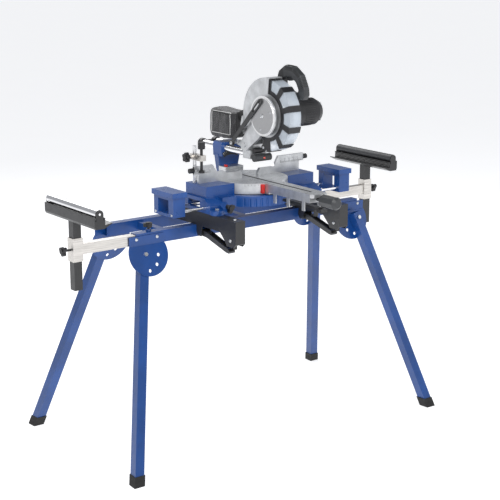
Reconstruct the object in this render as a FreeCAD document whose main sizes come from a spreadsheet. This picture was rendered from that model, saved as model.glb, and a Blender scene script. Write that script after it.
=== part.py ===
"""Sliding mitre saw bolted to a folding stand, as a parametric document of separate pieces.

Frame: +X to the operator's right, +Y to the back, +Z up, in millimetres. The origin is on the floor,
straight below the centre of the saw's turntable, which is also the middle of the whole outline.
"""
import FreeCAD
import Part
import math
import os

import Sketcher

DOC = FreeCAD.newDocument("MitreSawOnStand")
SHEET = DOC.addObject("Spreadsheet::Sheet", "Sizes")


# ---------------------------------------------------------------- sizes that carry their expression

class Size:
    """A number together with the spreadsheet expression that gives it."""

    def __init__(self, value, text):
        self.value = value
        self.text = text

    def __add__(self, other):
        other = as_size(other)
        return Size(self.value + other.value, f"({self.text} + {other.text})")

    def __sub__(self, other):
        other = as_size(other)
        return Size(self.value - other.value, f"({self.text} - {other.text})")

    def __mul__(self, other):
        other = as_size(other)
        return Size(self.value * other.value, f"({self.text} * {other.text})")

    def __truediv__(self, other):
        other = as_size(other)
        return Size(self.value / other.value, f"({self.text} / {other.text})")

    def __neg__(self):
        return Size(-self.value, f"(0 - {self.text})")

    def __radd__(self, other):
        return as_size(other) + self

    def __rsub__(self, other):
        return as_size(other) - self

    def __rmul__(self, other):
        return as_size(other) * self


def as_size(number):
    """A plain number as a Size; a Size comes back as it is."""
    if isinstance(number, Size):
        return number
    return Size(float(number), f"({number:.6g})" if number < 0 else f"{number:.6g}")


def sine(angle):
    """Sine of an angle in degrees."""
    return Size(math.sin(math.radians(angle.value)), f"sin({angle.text})")


def cosine(angle):
    """Cosine of an angle in degrees."""
    return Size(math.cos(math.radians(angle.value)), f"cos({angle.text})")


def tangent(angle):
    """Tangent of an angle in degrees."""
    return Size(math.tan(math.radians(angle.value)), f"tan({angle.text})")


def size(alias, value):
    """A driving dimension: one more row of the sheet."""
    row = size.rows = size.rows + 1
    SHEET.set(f"A{row}", alias)
    SHEET.set(f"B{row}", f"{value:.6g}")
    SHEET.setAlias(f"B{row}", alias)
    return Size(float(value), f"Sizes.{alias}")


size.rows = 0


# ---------------------------------------------------------------- building tools

def bind(thing, **properties):
    """Binds properties, such as Length or Placement.Base.x, to the sheet."""
    for name, amount in properties.items():
        thing.setExpression(name.replace("__", "."), as_size(amount).text)
    return thing


def place(thing, at, axis=None, angle=0):
    """Sets a piece down at a point, turned about an axis by an angle in degrees."""
    turn = as_size(angle)
    direction = FreeCAD.Vector(*(axis or (0, 0, 1)))
    spot = FreeCAD.Vector(*[as_size(c).value for c in at])
    thing.Placement = FreeCAD.Placement(spot, FreeCAD.Rotation(direction, turn.value))
    bind(thing, Placement__Base__x=at[0], Placement__Base__y=at[1], Placement__Base__z=at[2])
    if isinstance(angle, Size):
        bind(thing, Placement__Rotation__Angle=angle)
    return thing


def new(kind, label):
    """A new document object with that label."""
    thing = DOC.addObject(kind, "".join(c if c.isalnum() else "_" for c in label))
    thing.Label = label
    return thing


def box(label, x, y, z):
    """A block; x, y and z are each a (low, high) pair."""
    block = new("Part::Box", label)
    bind(block, Length=x[1] - as_size(x[0]), Width=y[1] - as_size(y[0]), Height=z[1] - as_size(z[0]))
    return place(block, (x[0], y[0], z[0]))


ROD_TURN = {"X": ((0, 1, 0), 90), "Y": ((1, 0, 0), -90), "Z": ((0, 0, 1), 0)}


def along(axis, across, low):
    """The point whose coordinate on that axis is low and whose other two are across."""
    return {"X": (low, *across), "Y": (across[0], low, across[1]), "Z": (*across, low)}[axis]


def rod(label, axis, radius, across, low, high):
    """A round bar along an axis; across is its place on the other two axes."""
    bar = new("Part::Cylinder", label)
    bind(bar, Radius=radius, Height=high - as_size(low))
    direction, angle = ROD_TURN[axis]
    return place(bar, along(axis, across, low), direction, angle)


def cone(label, axis, radii, across, low, high):
    """A tapered bar along an axis, with its radius at the low and at the high end."""
    taper = new("Part::Cone", label)
    bind(taper, Radius1=radii[0], Radius2=radii[1], Height=high - as_size(low))
    direction, angle = ROD_TURN[axis]
    return place(taper, along(axis, across, low), direction, angle)


def prism(label, axis, corners, circumradius, across, low, high):
    """A regular prism along an axis."""
    bar = new("Part::Prism", label)
    bar.Polygon = corners
    bind(bar, Circumradius=circumradius, Height=high - as_size(low))
    direction, angle = ROD_TURN[axis]
    return place(bar, along(axis, across, low), direction, angle)


def cut(label, base, *tools):
    """The base with every tool taken out of it."""
    taken = new("Part::Cut", label)
    taken.Base = base
    taken.Tool = tools[0] if len(tools) == 1 else join(label + " tools", *tools)
    return taken


def join(label, *pieces):
    """Several pieces made one solid."""
    fused = new("Part::MultiFuse", label)
    fused.Shapes = list(pieces)
    fused.Refine = True
    return fused


def common(label, first, second):
    """What two pieces share."""
    shared = new("Part::Common", label)
    shared.Base = first
    shared.Tool = second
    return shared


def group(label, *pieces):
    """Several solids kept apart in one node."""
    together = new("Part::Compound", label)
    together.Links = list(pieces)
    return together


def slab(label, plane, outline, low, high):
    """A plate with a polygon outline, drawn on the XY, XZ or YZ plane and padded from low to high."""
    body = new("PartDesign::Body", label)
    sketch = body.newObject("Sketcher::SketchObject", "Outline")
    base = [f for f in body.Origin.OriginFeatures if f.Role == plane + "_Plane"][0]
    sketch.AttachmentSupport = [(base, "")]
    sketch.MapMode = "FlatFace"
    corners = [(as_size(a), as_size(b)) for a, b in outline]
    spots = [FreeCAD.Vector(a.value, b.value, 0) for a, b in corners]
    count = len(spots)
    for i in range(count):
        sketch.addGeometry(Part.LineSegment(spots[i], spots[(i + 1) % count]), False)
    for i in range(count):
        sketch.addConstraint(Sketcher.Constraint("Coincident", i, 2, (i + 1) % count, 1))
    for i, corner in enumerate(corners):
        fix_point(sketch, i, 1, corner)
    pad = body.newObject("PartDesign::Pad", "Pad")
    pad.Profile = sketch
    pad.Reversed = plane == "XZ"
    bind(pad, Length=high - as_size(low))
    start = {"XY": (0, 0, low), "XZ": (0, low, 0), "YZ": (low, 0, 0)}[plane]
    return place(body, start)


def fix_point(sketch, geometry, end, corner):
    """Ties one point of a sketch to its two coordinates."""
    for kind, amount in zip(("DistanceX", "DistanceY"), corner):
        row = sketch.addConstraint(Sketcher.Constraint(kind, -1, 1, geometry, end, amount.value))
        sketch.setExpression(f"Constraints[{row}]", amount.text)


def span(centre, width):
    """The (low, high) pair of a width about a centre."""
    half = as_size(width) / 2
    return (centre - half, centre + half)


def side_name(sign):
    """left or right."""
    return "left" if sign < 0 else "right"


# ---------------------------------------------------------------- driving dimensions of the stand

beam_length = size("beam_length", 1000)
beam_height = size("beam_height", 42)
beam_width = size("beam_width", 34)
beam_wall = size("beam_wall", 2)
beam_spacing = size("beam_spacing", 190)
beam_top = size("beam_top", 800)
crossbar_height = size("crossbar_height", 26)
arm_height = size("arm_height", 36)
arm_width = size("arm_width", 28)
arm_wall = size("arm_wall", 1.8)
arm_reach = size("arm_reach", 225)
arm_overlap = size("arm_overlap", 210)
post_width = size("post_width", 30)
post_length = size("post_length", 236)
sleeve_height = size("sleeve_height", 80)
roller_radius = size("roller_radius", 15)
roller_pin_radius = size("roller_pin_radius", 4)
support_length = size("support_length", 330)
support_height = size("support_height", 64)
working_height = size("working_height", 940)
leg_width = size("leg_width", 34)
leg_wall = size("leg_wall", 1.8)
leg_tilt = size("leg_tilt", 17.4)
leg_splay = size("leg_splay", 13.6)
leg_pivot_x = size("leg_pivot_x", 470)
leg_pivot_y = size("leg_pivot_y", 29)
leg_pivot_drop = size("leg_pivot_drop", 30)
leg_reach = size("leg_reach", 860)
foot_wall = size("foot_wall", 2.5)
foot_height = size("foot_height", 34)
plate_radius = size("plate_radius", 78)
plate_thickness = size("plate_thickness", 3)
bolt_radius = size("bolt_radius", 4)
fit_gap = size("fit_gap", 0.05)
slide_gap = size("slide_gap", 0.5)
bracket_x = size("bracket_x", 230)
bracket_width = size("bracket_width", 40)
bracket_height = size("bracket_height", 50)
bracket_wall = size("bracket_wall", 2.5)
knob_radius = size("knob_radius", 17)

front_beam_y = as_size(0)
rear_beam_y = front_beam_y + beam_spacing
beam_mid_z = beam_top - beam_height / 2
beam_bottom = beam_top - beam_height
leg_pivot_z = beam_bottom - leg_pivot_drop
running_bore = bolt_radius + fit_gap


# ---------------------------------------------------------------- stand: beams, arms and supports

def tube(label, axis, centre, width, height, wall, low, high):
    """A rectangular tube; centre, width and height are across its axis, in the order X, Y, Z."""
    inner_width = width - 2 * wall
    inner_height = height - 2 * wall
    outer = {"X": ((low, high), span(centre[0], width), span(centre[1], height)),
             "Z": (span(centre[0], width), span(centre[1], height), (low, high)),
             "Y": (span(centre[0], width), (low, high), span(centre[1], height))}[axis]
    inner = {"X": ((low, high), span(centre[0], inner_width), span(centre[1], inner_height)),
             "Z": (span(centre[0], inner_width), span(centre[1], inner_height), (low, high)),
             "Y": (span(centre[0], inner_width), (low, high), span(centre[1], inner_height))}[axis]
    return cut(label, box(label + " outside", *outer), box(label + " bore", *inner))


def wing_knob(label, axis, tip, outward, stem_length, stem_radius, lobes=3):
    """A clamping screw with a winged grip; tip is the stem's inner end and outward its direction."""
    far = tip[2] + outward * stem_length
    stem = rod(label + " stem", axis, stem_radius, tip[:2], *ordered(tip[2], far))
    near = far - outward * 2
    top = near + outward * 13
    pieces = [stem, rod(label + " hub", axis, knob_radius * 0.55, tip[:2],
                        *ordered(near, top + outward * 3))]
    for lobe in range(lobes):
        turn = 2 * math.pi * lobe / lobes + 0.4
        spot = (tip[0] + knob_radius * 0.62 * math.cos(turn), tip[1] + knob_radius * 0.62 * math.sin(turn))
        pieces.append(rod(f"{label} wing {lobe}", axis, knob_radius * 0.42, spot, *ordered(near, top)))
    return join(label, *pieces)


def ordered(first, second):
    """Two sizes, the lower one first."""
    first, second = as_size(first), as_size(second)
    return (first, second) if first.value < second.value else (second, first)


def make_beam(label, centre_y, knob_x):
    """A long square tube with a threaded boss on top for its arm's clamping knob."""
    boss_top = beam_top + 8
    stock = tube(label + " stock", "X", (centre_y, beam_mid_z), beam_width, beam_height, beam_wall,
                 -beam_length / 2, beam_length / 2)
    boss = rod(label + " boss", "Z", 9, (knob_x, centre_y), beam_top - 0.5, boss_top)
    bore = rod(label + " boss bore", "Z", running_bore, (knob_x, centre_y), beam_top - beam_wall * 2,
               boss_top + 1)
    return cut(label, join(label + " with boss", stock, boss), bore)


def make_cross_members():
    """Three short tubes that join the two beams."""
    reach = (front_beam_y + beam_width / 2, rear_beam_y - beam_width / 2)
    bars = []
    for name, x in (("left", -beam_length * 0.36), ("middle", as_size(0)), ("right", beam_length * 0.36)):
        bars.append(tube(f"cross bar {name}", "Y", (x, beam_mid_z), crossbar_height, crossbar_height,
                         beam_wall, *reach))
    return group("cross_members", *bars)


def make_arm(sign, centre_y):
    """A silver tube that slides in its beam, with the square sleeve that holds the support's post."""
    name = "arm_" + side_name(sign)
    post_x = sign * (beam_length / 2 + arm_reach)
    inside = sleeve_bore()
    near = sign * (beam_length / 2 - arm_overlap)
    far = post_x - sign * inside / 2
    bar = tube(name + " bar", "X", (centre_y, beam_mid_z), arm_width, arm_height, arm_wall,
               *ordered(near, far))
    outer = box(name + " sleeve", span(post_x, inside + 2 * arm_wall * 2),
                span(centre_y, inside + 2 * arm_wall * 2),
                span(beam_mid_z, sleeve_height))
    hole = box(name + " sleeve bore", span(post_x, inside), span(centre_y, inside),
               span(beam_mid_z, sleeve_height + 2))
    screw = rod(name + " screw hole", "X", running_bore, (centre_y, beam_mid_z),
                *ordered(post_x, post_x + sign * beam_width))
    return cut(name, join(name + " welded", bar, outer), hole, screw)


def sleeve_bore():
    """The square hole that the post slides in."""
    return post_width + slide_gap


def make_post(sign, centre_y):
    """The black square tube that sets the height of a support."""
    post_x = sign * (beam_length / 2 + arm_reach)
    top = working_height - support_height
    return tube("post_" + side_name(sign), "Z", (post_x, centre_y), post_width, post_width, arm_wall,
                top - post_length, top)


def make_support(sign, centre_y):
    """The ribbed black section that cradles a roller, with a thin lip towards the saw."""
    name = "support_" + side_name(sign)
    post_x = sign * (beam_length / 2 + arm_reach)
    low = working_height - support_height
    axle_z = working_height - roller_radius
    half = roller_radius + 5
    wall = as_size(3)
    inward = -sign

    def at(across, up):
        return (post_x + inward * as_size(across), low + up)

    outline = [at(-half, 8), at(-half, 38), at(wall - half, 38), at(wall - half, 28), at(half - wall, 28),
               at(half - wall, 36), at(half, 36)]
    for rib in range(4):
        outline += [at(half, 33 - 5 * rib), at(half - 1.2, 31.5 - 5 * rib), at(half - 1.2, 29.5 - 5 * rib)]
    outline += [at(half, 12), at(half + 26, 17), at(half + 26, 14.5), at(half - 4, 0), at(4 - half, 0)]
    ends = span(centre_y, support_length)
    section = slab(name + " section", "XZ", outline, *ends)
    pieces = [section]
    for end, side in ((ends[0], 1), (ends[1], -1)):
        cheek = join(f"{name} cheek {side}",
                     rod(f"{name} cheek head {side}", "Y", roller_radius * 0.9, (post_x, axle_z),
                         *ordered(end, end + side * wall)),
                     box(f"{name} cheek foot {side}", span(post_x, roller_radius * 1.8),
                         ordered(end, end + side * wall), (low + 10, axle_z)))
        pieces.append(cheek)
    bore = rod(name + " axle bore", "Y", roller_pin_radius + fit_gap, (post_x, axle_z), ends[0] - 1,
               ends[1] + 1)
    return cut(name, join(name + " body", *pieces), bore)


def make_roller(sign, centre_y):
    """A roller with the two pins that it spins on."""
    name = "roller_" + side_name(sign)
    post_x = sign * (beam_length / 2 + arm_reach)
    axle_z = working_height - roller_radius
    barrel = rod(name + " barrel", "Y", roller_radius, (post_x, axle_z), *span(centre_y, support_length - 8))
    pin = rod(name + " pin", "Y", roller_pin_radius, (post_x, axle_z), *span(centre_y, support_length))
    return join(name, barrel, pin)


def make_arms():
    """Everything that slides out of the beams at each end."""
    made = []
    for sign, centre_y in ((-1, front_beam_y), (1, rear_beam_y)):
        side = side_name(sign)
        post_x = sign * (beam_length / 2 + arm_reach)
        made += [make_arm(sign, centre_y), make_post(sign, centre_y), make_support(sign, centre_y),
                 make_roller(sign, centre_y)]
        tip_x = post_x + sign * (post_width / 2 + 0.6)
        made.append(wing_knob("post_knob_" + side, "X", (centre_y, beam_mid_z, tip_x), sign, 26,
                              bolt_radius))
        tip_z = beam_mid_z + arm_height / 2 + 0.4
        made.append(wing_knob("arm_knob_" + side, "Z", (arm_knob_x(sign), centre_y, tip_z), 1, 20,
                              bolt_radius))
    return made


def arm_knob_x(sign):
    """Where the knob that clamps an arm stands on its beam."""
    return sign * (beam_length / 2 - 62)


# ---------------------------------------------------------------- stand: folding legs

LEGS = (("front", -1), ("front", 1), ("rear", -1), ("rear", 1))


def leg_frame(row):
    """The tilt angle and the pivot's Y of a front or rear leg."""
    if row == "front":
        return -leg_tilt, front_beam_y - leg_pivot_y
    return leg_tilt, rear_beam_y + leg_pivot_y


def leg_layer(row, sign):
    """The low and high limit of a leg across its plate, on alternate faces so that the legs fold past."""
    inner = (row == "front") == (sign < 0)
    outward = -1 if row == "front" else 1
    face = plate_thickness / 2 + slide_gap
    if inner:
        outward = -outward
    return ordered(outward * face, outward * (face + leg_width))


def tilted(label, piece, row, sign):
    """Sets a piece drawn about the pivot, in an upright plane, into the leg's own sloping plane."""
    angle, pivot_y = leg_frame(row)
    holder = new("Part::Compound", label)
    holder.Links = [piece]
    return place(holder, (sign * leg_pivot_x, pivot_y, leg_pivot_z), (1, 0, 0), angle)


def splayed(label, piece, sign):
    """Turns a piece about the pivot to the leg's spread."""
    holder = new("Part::Compound", label)
    holder.Links = [piece]
    return place(holder, (0, 0, 0), (0, 1, 0), -sign * leg_splay)


def make_leg(row, sign):
    """A square tube with a pivot bore and a rubber foot that stands flat on the floor."""
    name = f"leg_{row}_{side_name(sign)}"
    layer = leg_layer(row, sign)
    middle = (layer[0] + layer[1]) / 2
    top = leg_width * 0.62

    def in_place(part, piece):
        return tilted(f"{name} {part} set", splayed(f"{name} {part} spread", piece, sign), row, sign)

    stock = in_place("stock", box(name + " stock", span(0, leg_width), layer, (-leg_reach, top)))
    hollow = in_place("hollow", box(name + " hollow", span(0, leg_width - 2 * leg_wall),
                                    (layer[0] + leg_wall, layer[1] - leg_wall), (-leg_reach - 1, top + 1)))
    bore = in_place("bore", rod(name + " bore", "Y", running_bore, (0, 0), layer[0] - 1, layer[1] + 1))
    wide = leg_width + 2 * foot_wall
    cap = in_place("cap", box(name + " cap", span(0, wide), span(middle, wide),
                              (-leg_reach, -leg_reach * 0.5)))
    under = floor_block(name + " under tube", foot_wall)
    full = cut(name + " full", stock, under)
    pipe = cut(name + " tube", full, hollow, bore)
    high = box(name + " above foot", (-1000, 1000), (-800, 1000), (foot_height, 900))
    foot = cut(name + " foot", cap, floor_block(name + " floor", 0), high, full)
    return group(name, pipe, foot)


def floor_block(label, top):
    """A large block that removes everything under a height."""
    return box(label, (-1000, 1000), (-800, 1000), (-400, top))


def make_leg_plates():
    """Four half-round plates, each with an upright flange on its beam's outer face."""
    plates = []
    for row, sign in LEGS:
        name = f"plate {row} {side_name(sign)}"
        centre_x = -sign * 12
        half = plate_thickness / 2
        disc = rod(name + " disc", "Y", plate_radius, (centre_x, 0), -half, half)
        over = box(name + " over", span(centre_x, 400), (-50, 50), (leg_pivot_drop / cosine(leg_tilt), 200))
        shaped = cut(name + " shape", disc, over,
                     rod(name + " pivot", "Y", bolt_radius, (0, 0), -20, 20),
                     *[rod(f"{name} hole {i}", "Y", 6, (centre_x - sign * across, up), -20, 20)
                       for i, (across, up) in enumerate(((38, -8), (26, -40), (-6, -58)))])
        outer = -1 if row == "front" else 1
        beam_y = front_beam_y if row == "front" else rear_beam_y
        face = beam_y + outer * beam_width / 2
        flange = box(name + " flange", span(sign * leg_pivot_x + centre_x, plate_radius * 1.8),
                     ordered(face, face + outer * plate_thickness), (beam_bottom - 2, beam_top - 8))
        plates.append(join(name, tilted(name + " set", shaped, row, sign), flange))
    return group("leg_plates", *plates)


def make_leg_bolts():
    """For each leg, the bolt that it turns on and the pin that stops it when it is open."""
    bolts = []
    for row, sign in LEGS:
        name = f"bolt {row} {side_name(sign)}"
        layer = leg_layer(row, sign)
        half = plate_thickness / 2
        side = 1 if layer[1].value > half.value else -1
        head, tail = (-half, layer[1]) if side > 0 else (half, layer[0])
        shank = rod(name + " shank", "Y", bolt_radius, (0, 0), *ordered(head, tail + side * slide_gap))
        cap = prism(name + " head", "Y", 6, 7.5, (0, 0), *ordered(head, head - side * 5))
        nut = prism(name + " nut", "Y", 6, 7.5, (0, 0), *ordered(tail + side * slide_gap, tail + side * 6))
        pivot = tilted(name + " pivot set", join(name + " pivot", shank, cap, nut), row, sign)
        pin = rod(name + " stop", "Y", bolt_radius, (sign * (leg_width / 2 + bolt_radius + 0.4), -45),
                  *ordered(side * half, side * 22))
        stop = tilted(name + " stop set", splayed(name + " stop spread", pin, sign), row, sign)
        bolts += [pivot, stop]
    return group("leg_bolts", *bolts)


# ---------------------------------------------------------------- stand: the brackets that hold the saw

bracket_front = front_beam_y - 250
bracket_rear = rear_beam_y + 22
bracket_low = beam_top + 0.2
bracket_top = beam_top + bracket_height
lever_y = front_beam_y - 35
lever_z = beam_top - 25


def make_bracket(sign):
    """A deep black channel across both beams, with the pin of its quick-release lever."""
    name = "bracket_" + side_name(sign)
    x = sign * bracket_x
    nose = bracket_top - 92
    outline = [(bracket_rear, bracket_low), (bracket_rear, bracket_top), (bracket_front, bracket_top),
               (bracket_front, nose + 12), (bracket_front + 12, nose), (bracket_front + 52, nose),
               (bracket_front + 62, nose + 14), (bracket_front + 92, bracket_low),
               (lever_y - 16, bracket_low), (lever_y - 12, lever_z - 12), (lever_y + 10, lever_z - 12),
               (front_beam_y - beam_width / 2 - 1, lever_z),
               (front_beam_y - beam_width / 2 - 1, bracket_low)]
    shell = slab(name + " shell", "YZ", outline, *span(x, bracket_width))
    wall = bracket_wall
    hollow = slab(name + " hollow", "YZ",
                  [(bracket_rear - wall, bracket_low - 90), (bracket_rear - wall, bracket_top - wall),
                   (bracket_front + wall, bracket_top - wall), (bracket_front + wall, bracket_low - 90)],
                  *span(x, bracket_width - 2 * wall))
    holes = [rod(f"{name} bolt hole {i}", "Z", bolt_radius, (x, y), bracket_top - 10, bracket_top + 1)
             for i, y in enumerate((-foot_y, foot_y))]
    pin = rod(name + " lever pin", "X", bolt_radius, (lever_y, lever_z), *span(x, bracket_width - 1))
    jaw_face = rear_beam_y + beam_width / 2 + 1
    jaw = box(name + " rear jaw", span(x, bracket_width - 2 * wall + 0.5),
              (jaw_face, jaw_face + 3), (beam_mid_z, bracket_low + 6))
    rib = box(name + " rib", span(x, bracket_width - wall),
              (bracket_front + 30, bracket_front + 33), (nose + 4, bracket_top - 1))
    grip = prism(name + " front stop", "Z", 6, 8, (x, bracket_front + 31), nose - 10, nose + 6)
    return join(name, cut(name + " drilled", shell, hollow, *holes), pin, jaw, rib, grip)


def make_bracket_lever(sign):
    """The quick-release lever under a bracket, which presses on the front beam."""
    name = "bracket_lever_" + side_name(sign)
    x = sign * bracket_x
    outline = [(lever_y + 10, lever_z - 6), (lever_y + 10, lever_z + 7), (lever_y - 2, lever_z + 11),
               (lever_y - 34, lever_z + 6), (lever_y - 160, lever_z - 30), (lever_y - 168, lever_z - 38),
               (lever_y - 164, lever_z - 45), (lever_y - 150, lever_z - 44), (lever_y - 34, lever_z - 13),
               (lever_y, lever_z - 11)]
    arm = slab(name + " arm", "YZ", outline, *span(x, 26))
    groove = slab(name + " groove", "YZ",
                  [(lever_y - 40, lever_z - 4), (lever_y - 40, lever_z + 20), (lever_y - 150, lever_z + 20),
                   (lever_y - 150, lever_z - 34)], *span(x, 18))
    bore = rod(name + " bore", "X", running_bore, (lever_y, lever_z), *span(x, 40))
    return cut(name, arm, groove, bore)


# ---------------------------------------------------------------- driving dimensions of the saw

foot_drop = size("foot_drop", 90)
foot_x = bracket_x
foot_y = size("foot_y", 115)
drum_radius = size("drum_radius", 135)
drum_height = size("drum_height", 38)
table_arm_length = size("table_arm_length", 380)
table_arm_width = size("table_arm_width", 72)
kerf_width = size("kerf_width", 10)
kerf_depth = size("kerf_depth", 12)
fence_height = size("fence_height", 34)
fence_depth = size("fence_depth", 12)
upper_fence_height = size("upper_fence_height", 62)
extension_x = size("extension_x", 340)
extension_width = size("extension_width", 60)
extension_depth = size("extension_depth", 130)
extension_rod_radius = size("extension_rod_radius", 5)
clamp_x = size("clamp_x", -226)
clamp_post_radius = size("clamp_post_radius", 7)
rail_radius = size("rail_radius", 12.5)
rail_left = size("rail_left", -22)
rail_right = size("rail_right", 38)
rail_rise = size("rail_rise", 92)
rail_length = size("rail_length", 300)
post_front = size("bevel_post_front", 120)
post_depth = size("bevel_post_depth", 45)
chop_y = size("chop_pivot_y", -30)
chop_rise = size("chop_pivot_rise", 124)
pivot_pin_radius = size("pivot_pin_radius", 8)
blade_y = size("blade_y", -145)
blade_rise = size("blade_rise", 240)
blade_radius = size("blade_radius", 108)
blade_thickness = size("blade_thickness", 2.6)
neck_rise = size("dust_neck_rise", 216)
guard_radius = size("guard_radius", 124)
guard_left = size("guard_left", -33)
guard_right = size("guard_right", 14)
hub_radius = size("guard_hub_radius", 76)
motor_radius = size("motor_radius", 48)
motor_end = size("motor_end", 185)
extension_screw_x = size("extension_screw_x", 186)
handle_left = size("handle_left", 17)
handle_right = size("handle_right", 41)

table = working_height
foot_z = table - foot_drop
chop_z = table + chop_rise
blade_z = table + blade_rise
rail_z = table + rail_rise


def polar(radius, angle, centre=None):
    """A point about the blade's centre: 0 degrees is to the front and 90 degrees is up."""
    y, z = centre or (blade_y, blade_z)
    turn = math.radians(angle)
    return (y - as_size(radius) * math.cos(turn), z + as_size(radius) * math.sin(turn))


def wedge(label, radius, start, end, x):
    """A pie slice about the blade's centre, wide enough to cut an arc out of a ring."""
    steps = 2 + int((end - start) / 20)
    rim = [polar(radius, start + (end - start) * i / steps) for i in range(steps + 1)]
    return slab(label, "YZ", [(blade_y, blade_z), *rim], *x)


def ring(label, outer, inner, x, centre=None):
    """A flat ring about an axis along X."""
    spot = centre or (blade_y, blade_z)
    return cut(label, rod(label + " outside", "X", outer, spot, *x),
               rod(label + " bore", "X", inner, spot, as_size(x[0]) - 1, as_size(x[1]) + 1))


# ---------------------------------------------------------------- saw: base, fence and extensions

def make_base():
    """The blue casting: a ring under the turntable, a wing each side and four bolted feet."""
    ring_top = table - drum_height - 2
    pieces = [rod("base ring", "Z", drum_radius + 24, (0, 0), foot_z + 12, ring_top)]
    flare = [(-62, table - 40), (-96, table - 56), (-122, foot_z + 18), (-122, foot_z), (118, foot_z),
             (118, foot_z + 18), (78, table - 56), (56, table - 40)]
    for sign in (-1, 1):
        side = side_name(sign)
        pieces.append(box(f"base wing {side}", ordered(sign * 120, sign * 240), (-66, 60),
                          (table - 44, table - 0.2)))
        pieces.append(slab(f"base flare {side}", "YZ", flare, *ordered(sign * 176, sign * 250)))
        pieces.append(box(f"base neck {side}", ordered(sign * 120, sign * 190), (-92, 78),
                          (foot_z + 12, table - 40)))
        for y in (-foot_y, foot_y):
            pieces.append(rod(f"base foot {side} {y.value}", "Z", 25, (sign * foot_x, y), foot_z,
                              foot_z + 16))
    solid = join("base solid", *pieces)
    wells = [rod("base drum well", "Z", drum_radius + 1.2, (0, 0), ring_top - 6, table + 5),
             rod("base hollow", "Z", drum_radius - 10, (0, 0), foot_z, ring_top - 18),
             rod("base pivot bore", "Z", 12 + fit_gap, (0, 0), foot_z, table)]
    for i in range(-6, 7):
        turn = math.radians(7.5 * i)
        spot = ((drum_radius + 26) * math.sin(turn), (drum_radius + 26) * -math.cos(turn))
        wells.append(rod(f"base notch {i}", "Z", 5, spot, foot_z + 12, ring_top - 8))
    for sign in (-1, 1):
        side = side_name(sign)
        wells.append(box(f"base wing hollow {side}", ordered(sign * 146, sign * 234), (-58, 52),
                         (foot_z - 1, table - 12)))
        wells.append(box(f"base window {side}", ordered(sign * 230, sign * 251), (-40, 32),
                         (foot_z + 12, table - 52)))
        for y in (-foot_y, foot_y):
            wells.append(box(f"base foot recess {side} {y.value}", ordered(sign * 209, sign * 251),
                             span(y, 24), (foot_z + 16, foot_z + 60)))
        for y in (-foot_y, foot_y):
            wells.append(rod(f"base bolt hole {side} {y.value}", "Z", bolt_radius, (sign * foot_x, y),
                             foot_z - 1, foot_z + 40))
        for y in extension_rod_y():
            wells.append(rod(f"base rod bore {side} {y.value}", "X", extension_rod_radius + fit_gap,
                                     (y, table - 70), *ordered(sign * 100, sign * 260)))
        wells.append(rod(f"base screw bore {side}", "Y", 3, (sign * extension_screw_x, table - 70),
                         -130, extension_rod_y()[0]))
    return cut("base_casting", solid, *wells)


def make_base_bolts():
    """The four bolts through the feet into the brackets."""
    bolts = []
    for sign in (-1, 1):
        for y in (-foot_y, foot_y):
            name = f"base bolt {side_name(sign)} {y.value}"
            top = foot_z + 16
            head = prism(name + " head", "Z", 6, 7.5, (sign * foot_x, y), top, top + 5.5)
            shank = rod(name + " shank", "Z", bolt_radius, (sign * foot_x, y), bracket_top - 8, top)
            bolts.append(join(name, head, shank))
    return group("base_bolts", *bolts)


def extension_rod_y():
    """The Y of the two rods of an extension."""
    return as_size(-76), as_size(18)


def make_extension(sign):
    """A blue window frame with a table-height top, on two chrome rods that slide in the base."""
    name = "extension_" + side_name(sign)
    x = ordered(sign * extension_x, sign * (extension_x + extension_width))
    y = (-95, -95 + extension_depth)
    top = box(name + " top", x, y, (table - 18, table - 0.2))
    frame = box(name + " frame", span(sign * (extension_x + extension_width / 2), extension_width - 12),
                (-90, 30), (foot_z + 4, table - 17))
    window = box(name + " window", span(sign * (extension_x + extension_width / 2), extension_width + 10),
                 (-60, 4), (foot_z + 14, table - 28))
    rods = [rod(f"{name} rod {i}", "X", extension_rod_radius, (y_rod, table - 70),
                *ordered(sign * 112, sign * (extension_x + 14)))
            for i, y_rod in enumerate(extension_rod_y())]
    return join(name, cut(name + " casting", join(name + " blank", top, frame), window), *rods)


def make_extension_screw(sign):
    """The thumbscrew that locks an extension's rod."""
    tip = (sign * extension_screw_x, table - 70, as_size(-81.5))
    return wing_knob("extension_screw_" + side_name(sign), "Y", tip, -1, 46, as_size(2.9))


def make_fence_rail():
    """The fixed silver fence, low beside the blade and open in the middle."""
    halves = []
    for sign in (-1, 1):
        side = side_name(sign)
        outline = [(sign * 36, table), (sign * 225, table), (sign * 225, table + fence_height),
                   (sign * 116, table + fence_height), (sign * 104, table + 26), (sign * 44, table + 26),
                   (sign * 36, table + 12)]
        face = slab(f"fence face {side}", "XZ", outline, 0, fence_depth)
        ribs = [box(f"fence rib {side} {i}", span(sign * x, 5), (fence_depth - 0.5, 35), (table, table + 20))
                for i, x in enumerate((150, 172, 200))]
        halves.append(join(f"fence half {side}", face, *ribs))
    return group("fence_rail", *halves)


def make_upper_fence(sign):
    """A tall sliding fence face that stands on the fixed one."""
    low = table + fence_height + 0.3
    inner = 112 if sign > 0 else 148
    outline = [(sign * inner, low), (sign * 245, low), (sign * 245, table + upper_fence_height),
               (sign * (inner + 16), table + upper_fence_height)]
    face = slab(f"fence {side_name(sign)} face", "XZ", outline, 0, fence_depth - 3)
    knob = rod(f"fence {side_name(sign)} knob", "X", 9, (fence_depth / 2, table + 48),
               *ordered(sign * 244, sign * 262))
    return join("fence_" + side_name(sign), face, knob)


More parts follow.
